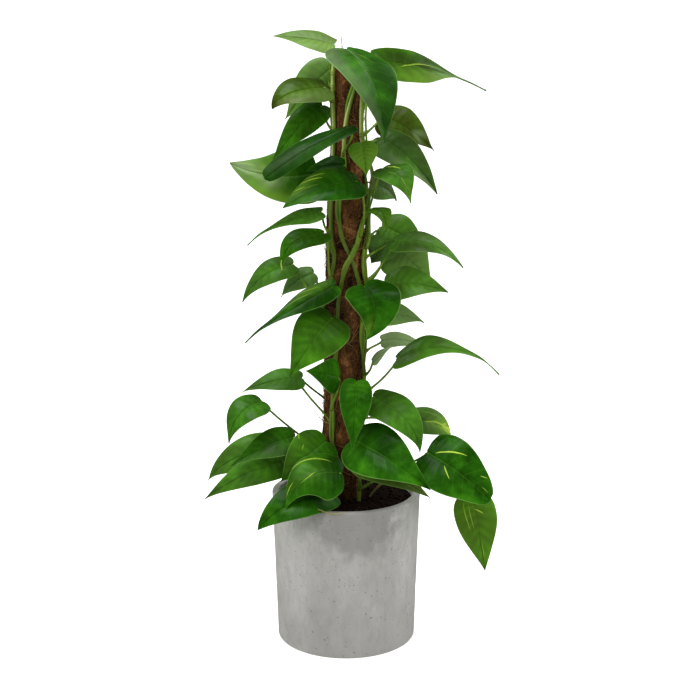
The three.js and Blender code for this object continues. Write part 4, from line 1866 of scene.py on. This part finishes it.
# The name, the stem and the height on it where the stalk leaves; the blade's base and tip;
# its width, its lean, the compass angle it leans toward, and its arch as a share of its
# length.
LEAVES = (
    Leaf("leaf_01", LEFT, 757, (-15, 4, 793), (-92, 10, 803),
         43, 32, -10, 0.03, full=0.3),
    Leaf("leaf_02", CENTRE, 748, (1, -40, 787), (47, -80, 675), 88, 70, 40, 0.17),
    Leaf("leaf_03", RIGHT, 735, (42, -14, 772), (187, 88, 732),
         62, 44, 0, 0.05, drip=0.8, tail_from=0.3, tail_to=0.7, peak=0.5),
    Leaf("leaf_04", LEFT, 740, (-18, 26, 764), (-79, 32, 698), 54, 66, 0, 0.12),
    Leaf("leaf_05", LEFT, 722, (-26, -16, 740), (-91, -44, 714),
         54, 40, 0, 0.18, peak=0.9),
    Leaf("leaf_06", LEFT, 688, (-30, -4, 717), (-93, -34, 648), 42, 55, 0, 0.1),
    Leaf("leaf_07", CENTRE, 656, (5, -73, 694), (-99, -100, 633),
         44, 5, 0, 0.03, twist=-40, full=0.7, drip=0),
    Leaf("leaf_08", LEFT, 606, (-39, 4, 630), (-150, 6, 643),
         79, 60, 0, 0.06, full=0.15, sway=-0.12),
    Leaf("leaf_09", RIGHT, 552, (15, -67, 627), (-77, -104, 598),
         55, 44, 0, 0.11, full=0.3, climb=0.9),
    Leaf("leaf_10", CENTRE, 612, (-2, -37, 644), (-50, -38, 637), 31, 45, 0, 0.08),
    Leaf("leaf_11", LEFT, 557, (-32, -4, 581), (-128, -8, 541),
         42, 26, -10, 0.07, drip=0.75, curl=0.03),
    Leaf("leaf_12", LEFT, 500, (-28, -45, 559), (-81, -60, 514),
         38, 35, 0, 0.36, peak=0.72, climb=2),
    Leaf("leaf_13", LEFT, 459, (-70, 20, 509), (-137, 16, 459), 40, 45, 0, 0.24),
    Leaf("leaf_14", LEFT, 440, (-43, 28, 496), (-87, 32, 463), 34, 45, 0, 0.15),
    Leaf("leaf_15", LEFT, 470, (-15, -50, 492), (-129, -60, 424),
         46, 25, 0, 0.02, drip=0.5, curl=0.03),
    Leaf("leaf_16", RIGHT, 380, (-17, -52, 452), (-71, -80, 381),
         72, 65, -8, 0.1, climb=2),
    Leaf("leaf_17", LEFT, 323, (-59, 4, 358), (-139, -2, 340), 40, 34, 0, 0.09),
    Leaf("leaf_18", LEFT, 262, (-111, -22, 333), (-154, -38, 280), 46, 42, -10, 0.34),
    Leaf("leaf_19", LEFT, 245, (-84, 16, 260), (-188, 12, 213),
         58, 45, 0, 0.22, peak=0.6),
    Leaf("leaf_20", RIGHT, 271, (-68, -22, 284), (-151, -44, 251), 44, 48, 0, 0.12),
    Leaf("leaf_21", LEFT, 222, (-83, -14, 248), (-187, -38, 203), 48, 45, 0, 0.12),
    Leaf("leaf_22", RIGHT, 226, (-26, -36, 282), (-86, -44, 229),
         62, 60, 0, 0.16, climb=2),
    Leaf("leaf_23", RIGHT, 240, (-6, -80, 252), (-77, -108, 215),
         71, 56, -15, 0.12, sway=0.18, fold=-6),
    Leaf("leaf_24", RIGHT, 203, (-21, -60, 221), (-113, -106, 184),
         58, 42, 0, 0.2, peak=0.7, full=0.2),
    Leaf("leaf_25", RIGHT, 585, (20, -56, 673), (26, -66, 634),
         37, 75, 0, 0.1, climb=2, notch=1.5),
    Leaf("leaf_26", RIGHT, 575, (47, -42, 641), (81, -64, 599),
         52, 48, 25, 0.26, climb=2),
    Leaf("leaf_27", RIGHT, 668, (44, 6, 676), (117, -12, 605), 56, 45, 10, 0.12, hug=0.3),
    Leaf("leaf_28", RIGHT, 680, (48, 40, 701), (116, 42, 656),
         60, 48, 0, 0.1, peak=0.5, drip=0.3),
    Leaf("leaf_29", BACK, 602, (34, 14, 616), (66, 26, 592), 52, 35, 0, 0.15, notch=1.3),
    Leaf("leaf_30", BACK, 536, (32, -28, 588), (51, -48, 561),
         36, 40, 30, 0.34, climb=0.9),
    Leaf("leaf_31", BACK, 548, (48, 58, 555), (108, 64, 512), 58, 50, 0, 0.15),
    Leaf("leaf_32", BACK, 493, (63, -10, 543), (151, -24, 511), 46, 28, 0, 0.18),
    Leaf("leaf_33", BACK, 523, (52, 7, 542), (33, 8, 512), 42, 75, 0, 0.12, hug=0.4),
    Leaf("leaf_34", BACK, 488, (62, 26, 530), (113, 20, 486), 70, 62, 0, 0.12),
    Leaf("leaf_35", CENTRE, 469, (51, -20, 489), (131, -40, 482), 58, 45, 0, 0.12),
    Leaf("leaf_36", CENTRE, 440, (23, -60, 494), (25, -88, 428),
         72, 72, 15, 0.14, sway=-0.14, climb=1.3, fold=28, notch=1.5),
    Leaf("leaf_37", CENTRE, 429, (43, -8, 449), (102, -14, 437), 42, 40, 0, 0.1),
    Leaf("leaf_38", BACK, 394, (48, 26, 405), (107, 36, 392), 32, 30, 0, 0.12),
    Leaf("leaf_39", CENTRE, 342, (67, -20, 391), (199, -40, 381),
         58, 24, 0, 0.19, drip=0.6, peak=0.42, curl=0.06),
    Leaf("leaf_40", CENTRE, 366, (35, -26, 387), (61, -32, 410), 18, 30, 0, 0.05),
    Leaf("leaf_41", RIGHT, 323, (-9, -53, 372), (-51, -76, 387),
         46, 65, 0, 0.1, climb=1.0),
    Leaf("leaf_42", CENTRE, 322, (14, -62, 370), (8, -90, 288),
         42, 80, 0, 0.1, climb=1.5),
    Leaf("leaf_43", CENTRE, 306, (35, -38, 343), (96, -68, 277),
         58, 45, 20, 0.25, peak=0.65),
    Leaf("leaf_44", BACK, 292, (81, 18, 300), (142, 8, 275), 44, 45, 0, 0.24, peak=0.75),
    Leaf("leaf_45", CENTRE, 270, (10, -68, 293), (107, -112, 240), 76, 55, 0, 0.12),
    Leaf("leaf_46", CENTRE, 212, (16, -62, 262), (108, -98, 225), 44, 40, 0, 0.08),
    Leaf("leaf_47", CENTRE, 213, (106, -46, 270), (188, -70, 212),
         83, 65, 20, 0.1, full=0.6),
    Leaf("leaf_48", BACK, 225, (168, -30, 203), (186, -44, 104), 57, 75, 0, 0.1),
    Leaf("leaf_49", BACK, 705, (13, 44, 760), (35, 80, 707), 52, 62, 170, 0.14),
    Leaf("leaf_50", BACK, 622, (-11, 48, 628), (-52, 92, 597), 56, 60, -150, 0.14),
    Leaf("leaf_51", BACK, 432, (-22, 50, 425), (-56, 96, 373), 60, 62, -160, 0.14),
    Leaf("leaf_52", BACK, 290, (-20, 52, 258), (-59, 98, 200), 64, 60, -155, 0.14),
)

# Leaves that aren't listed have the plain look. A patch gives row, across, its length in
# rows, its width as a share of the half width, and its strength.
LOOKS = {
    "leaf_01": Look(pale=0.18, painted_sheen=0.16, deep=0.04, olive=0.12,
                    light=(Patch(3, -0.5, 3, 0.6, 0.3),)),
    "leaf_02": Look(painted_sheen=0.02, dark=(Patch(4.5, -0.5, 3, 0.6, 0.15),),
                    sheen_patches=(Patch(4, 0.85, 3.4, 0.35, 0.2), Patch(1.4, 0.5, 1.2, 0.6, 0.1)),
                    streaks=(Streak((2.6, -0.08), (4.0, -0.36), 1.0, 0.3),
                             Streak((3.4, 0.1), (5.4, 0.02), 1.1, 0.35))),
    "leaf_03": Look(olive=0.12, deep=0.06, light=(Patch(4.6, 0.8, 2.2, 0.5, 0.35),),
                    dark=(Patch(2.8, -0.4, 2.5, 0.5, 0.3),), sheen_patches=(Patch(7.6, 0, 1.6, 2, 0.5),),
                    streaks=(Streak((3.4, 0.25), (5.8, -0.45), 2.6, 0.6),)),
    "leaf_04": Look(pale=0.32, painted_sheen=0.06, sheen_patches=(Patch(4, 0.6, 3, 0.6, 0.12),)),
    "leaf_05": Look(olive=0.3, sheen_patches=(Patch(3.5, -0.7, 4, 0.5, 0.12),),
                    dark=(Patch(3.5, 0.6, 5, 0.55, 0.5),)),
    "leaf_06": Look(pale=0.05),
    "leaf_07": Look(deep=0.75, sheen_patches=(Patch(6.8, 0.2, 1.0, 0.6, 0.2),)),
    "leaf_08": Look(light=(Patch(6.4, 0.3, 1.5, 1.4, 0.35), Patch(4.6, -0.95, 2, 0.35, 0.4)),
                    sheen_patches=(Patch(7.4, 0.4, 1.0, 1.2, 0.6), Patch(5.5, -0.45, 0.5, 0.3, 0.3)),
                    dark=(Patch(1.5, 0, 2.2, 1.4, 0.35),),
                    streaks=(Streak((7.6, 0.9), (6.4, 0.55), 2.4, 0.5),
                             Streak((7.0, 0.2), (6.1, 0.2), 2.4, 0.45))),
    "leaf_09": Look(deep=0.3, sheen_patches=(Patch(7.0, 0.3, 0.8, 0.9, 0.12),),
                    light=(Patch(6.2, 0.85, 1.6, 0.3, 0.4),),
                    streaks=(Streak((6.1, 1.0), (4.9, 0.55), 2.0, 0.9),
                             Streak((5.6, 1.0), (4.5, 0.7), 1.7, 0.7),
                             Streak((6.7, 1.0), (6.2, 0.6), 1.8, 0.8),
                             Streak((6.9, 0.7), (5.6, 0.3), 1.3, 0.5))),
    "leaf_10": Look(deep=0.45),
    "leaf_11": Look(pale=0.14, painted_sheen=0.02),
    "leaf_12": Look(pale=0.05, yellow=(Patch(7.9, 0.0, 0.75, 1.5, 1.0),)),
    "leaf_13": Look(pale=0.1, painted_sheen=0.04),
    "leaf_14": Look(pale=0.14, painted_sheen=0.16),
    "leaf_15": Look(light=(Patch(3.2, 0.6, 1.6, 0.4, 0.3),),
                    streaks=(Streak((5.4, 0.8), (3.9, 0.3), 1.6, 0.45),
                             Streak((4.4, 0.95), (3.2, 0.5), 1.6, 0.45))),
    "leaf_16": Look(pale=0.1),
    "leaf_17": Look(pale=0.08, painted_sheen=0.04),
    "leaf_18": Look(pale=0.04, painted_sheen=0.02),
    "leaf_19": Look(pale=0.12, painted_sheen=0.03),
    "leaf_20": Look(pale=0.03, sheen_patches=(Patch(5.0, -0.7, 3, 0.5, 0.08),)),
    "leaf_21": Look(pale=0.1, painted_sheen=0.02),
    "leaf_22": Look(pale=0.03, light=(Patch(5.0, 0.6, 3, 0.6, 0.12),),
                    streaks=(Streak((3.7, 1.0), (4.1, 0.8), 1.4, 0.5),
                             Streak((4.3, 0.5), (4.8, 0.4), 1.2, 0.4))),
    "leaf_23": Look(light=(Patch(5.5, 0.3, 2.0, 0.8, 0.1),), dark=(Patch(2, 0, 1.8, 2, 0.4),),
                    streaks=(Streak((5.3, 0.98), (2.9, 0.5), 3.0, 0.6),
                             Streak((6.5, -0.05), (4.9, 0.1), 1.9, 0.7),
                             Streak((7.3, 0.9), (6.3, 0.6), 2.0, 0.6))),
    "leaf_24": Look(deep=0.3, dark=(Patch(3, 0.5, 4, 0.7, 0.3),)),
    "leaf_25": Look(pale=0.38),
    "leaf_26": Look(pale=0.08, painted_sheen=0.03, light=(Patch(7.4, 0.0, 1.0, 1.0, 0.3),),
                    streaks=(Streak((1.8, -0.1), (4.3, -0.4), 3.2, 0.9),
                             Streak((3.8, 0.3), (5.2, 0.1), 1.4, 0.35),
                             Streak((7.7, 0.0), (5.6, -0.05), 2.4, 0.6))),
    "leaf_27": Look(painted_sheen=0.05, olive=0.1, sheen_patches=(Patch(6, 0.8, 3, 0.25, 0.25),),
                    dark=(Patch(3, -0.3, 4, 0.5, 0.2),)),
    "leaf_28": Look(olive=0.32, deep=0.2, sheen_patches=(Patch(6.3, 0.0, 0.35, 1.2, 0.4),)),
    "leaf_29": Look(pale=0.1, painted_sheen=0.14, olive=0.05),
    "leaf_30": Look(pale=0.24),
    "leaf_31": Look(pale=0.22, painted_sheen=0.03),
    "leaf_32": Look(pale=0.04, painted_sheen=0.03, olive=0.08, sheen_patches=(Patch(5, -0.6, 3, 0.6, 0.08),)),
    "leaf_33": Look(pale=0.12, painted_sheen=0.1),
    "leaf_34": Look(pale=0.34, painted_sheen=0.14),
    "leaf_35": Look(pale=0.15, painted_sheen=0.03),
    "leaf_36": Look(deep=0.05, dark=(Patch(3.5, 0, 3, 0.25, 0.4),),
                    light=(Patch(7.4, 0.5, 1.0, 0.7, 0.4),)),
    "leaf_37": Look(pale=0.28, painted_sheen=0.27),
    "leaf_38": Look(pale=0.3, painted_sheen=0.55),
    "leaf_39": Look(pale=0.15, painted_sheen=0.02),
    "leaf_40": Look(pale=0.3, painted_sheen=0.7),
    "leaf_43": Look(pale=0.1, painted_sheen=0.02),
    "leaf_44": Look(pale=0.12, painted_sheen=0.08, light=(Patch(6.9, -0.3, 1.7, 1.1, 0.9),),
                    yellow=(Patch(7.2, -0.3, 1.2, 0.9, 0.9),),
                    dark=(Patch(3.5, 0.5, 3, 0.6, 0.25),),
                    streaks=(Streak((4.4, 0.1), (7.0, -0.5), 4.6, 0.75),
                             Streak((3.4, -0.55), (5.6, -0.7), 0.9, 0.4))),
    "leaf_45": Look(dark=(Patch(2.5, -0.7, 4.0, 0.55, 0.6), Patch(1, 0, 2, 1, 0.3))),
    "leaf_46": Look(deep=0.2, olive=0.3, painted_sheen=0.04),
    "leaf_47": Look(streaks=(Streak((2.9, -0.1), (4.9, -0.66), 2.7, 1.0),
                             Streak((4.45, 0.09), (5.1, 0.43), 1.9, 0.9),
                             Streak((6.5, -0.6), (6.75, -0.85), 1.3, 0.6),
                             Streak((7.15, -0.28), (7.65, -0.4), 1.5, 0.6))),
    "leaf_48": Look(pale=0.22, olive=0.04,
                    streaks=(Streak((3.5, 0.02), (3.9, -0.38), 1.7, 0.7),
                             Streak((2.4, 0.5), (5.0, 0.45), 1.4, 0.4),
                             Streak((2.8, 0.25), (5.2, 0.25), 1.2, 0.35),
                             Streak((6.2, -0.1), (7.3, -0.4), 1.8, 0.6))),
}


@dataclass
class Foliage:
    """The four stems, their roots and all leaves."""

    pole: Pole
    looks: dict[str, Look]

    def build(self) -> None:
        """Makes the stems, the aerial roots and the leaves."""
        feet = {name: [leaf.foot for leaf in LEAVES if leaf.stem is name] for name in StemName}
        stems = {name: Stem(name, STEM_ROUTES[name], self.pole, feet[name])
                 for name in StemName}
        skin = LivingStem("living stem skin", "4d7012", "869c38", "6a4c2c",
                          shaded=0.55).material()
        stalk = LivingStem("leaf stalk skin", "4a7d16", "7f9f36", "7a5c32",
                           shaded=0.25).material()
        root = LivingStem("aerial root bark", "6e4c36", "94755a", "4f3322", rough=0.8).material()
        dry = LivingStem("dry leaf stalk", "6b6136", "94905a", "4a3f24", rough=0.85).material()
        for stem in stems.values():
            stem.build(skin)
        AerialRoots(stems, self.pole).build(root, dry, stalk)
        plain = GlossyBlade().material("waxy leaf, upper side", (), (1.0, 1.0))
        under = MattUnderside().material()
        for leaf in LEAVES:
            look, upper = self.looks.get(leaf.name, Look()), plain
            if look.streaks:
                upper = GlossyBlade().material(f"waxy leaf, streaked, {leaf.name}",
                                               look.streaks, leaf.scale())
            leaf.build(stems[leaf.stem], look, [upper, under, stalk])


@dataclass(frozen=True)
class Softbox:
    """A square softbox that faces the plant: its power in watts, its side and place in metres."""

    name: str
    watts: float
    size: float
    at: tuple[float, float, float]
    shine: bool = True
    aim: tuple[float, float, float] = (0, 0, 0.4)

    def hang(self) -> None:
        """Hangs the softbox; without shine it isn't mirrored in glossy things."""
        light = bpy.data.lights.new(self.name, "AREA")
        light.energy, light.shape, light.size = self.watts, "SQUARE", self.size
        lamp = add_object(self.name, light)
        lamp.location = self.at
        towards = Vector(self.aim) - Vector(self.at)
        lamp.rotation_euler = towards.to_track_quat("-Z", "Y").to_euler()
        lamp.visible_glossy = self.shine


SOFTBOXES = (
    Softbox("softbox_top", 120, 2.0, (-0.3, -0.2, 4.2)),
    Softbox("softbox_front_left", 24, 1.0, (-1.9, -1.9, 1.5), shine=False),
    Softbox("softbox_front_right", 20, 1.0, (2.1, -1.8, 1.3), shine=False),
    Softbox("softbox_back_left", 8, 1.0, (-1.5, 1.5, 1.8)),
    Softbox("softbox_back_right", 8, 1.0, (1.6, 1.4, 1.8)),
)


@dataclass
class Studio:
    """A sheet of white paper, soft lights round it, and the camera. Sizes in metres."""

    half_width: float = 5.0
    front: float = -3.2
    back: float = 3.2
    bend: float = 1.1
    height: float = 3.6
    surroundings: float = 0.66
    camera_height: float = 0.793
    camera_distance: float = 1.785
    camera_side: float = 0.0052
    camera_down: float = 12.5
    lens: float = 70.97
    sensor_width: float = 36.0

    def paper(self) -> None:
        """Lays the paper flat and curves it up behind."""
        bm = bmesh.new()
        bmesh.ops.create_grid(bm, x_segments=8, y_segments=60, size=1)
        wide, along = grid_places(bm)
        flat = self.back - self.bend - self.front
        arc = self.bend * math.pi / 2
        total = flat + arc + self.height - self.bend
        s = along * total
        angle = np.clip((s - flat) / self.bend, 0, math.pi / 2)
        y = self.front + np.minimum(s, flat) + self.bend * np.sin(angle)
        z = self.bend * (1 - np.cos(angle)) + np.maximum(0, s - flat - arc)
        place(bm, np.stack([(wide * 2 - 1) * self.half_width, y, z], 1) / MM)
        for face in bm.faces:
            face.smooth = True
        sheet = add_mesh(bm, "white_paper", [StudioPaper().material()])
        sheet.visible_glossy = False
        sheet.visible_diffuse = False

    def world(self) -> None:
        """Makes the white surroundings, which glossy things don't mirror."""
        world = bpy.data.worlds.new("white surroundings")
        world.use_nodes = True
        background = world.node_tree.nodes["Background"]
        background.inputs["Color"].default_value = (1, 1, 1, 1)
        background.inputs["Strength"].default_value = self.surroundings
        world.cycles_visibility.glossy = False
        bpy.context.scene.world = world

    def camera(self) -> None:
        """Stands the camera in front, looking a little down."""
        data = bpy.data.cameras.new("camera")
        data.lens, data.sensor_width = self.lens, self.sensor_width
        data.clip_start, data.clip_end = 0.05, 60
        camera = add_object("camera", data)
        camera.location = (self.camera_side, -self.camera_distance, self.camera_height)
        camera.rotation_euler = (math.radians(90 - self.camera_down), 0, 0)
        bpy.context.scene.camera = camera

    def build(self) -> None:
        """Makes the paper, the lights, the white surroundings and the camera."""
        self.paper()
        for softbox in SOFTBOXES:
            softbox.hang()
        self.world()
        bpy.context.scene.view_settings.view_transform = "Standard"
        self.camera()


def main() -> None:
    """Builds the plant from the pot up, then the studio round it."""
    logging.basicConfig(level=logging.INFO, format="%(name)s: %(message)s")
    pole = Pole()
    Pot().build()
    Soil().build(pole)
    pole.build()
    Foliage(pole, LOOKS).build()
    Studio().build()


if __name__ == "__main__":
    main()
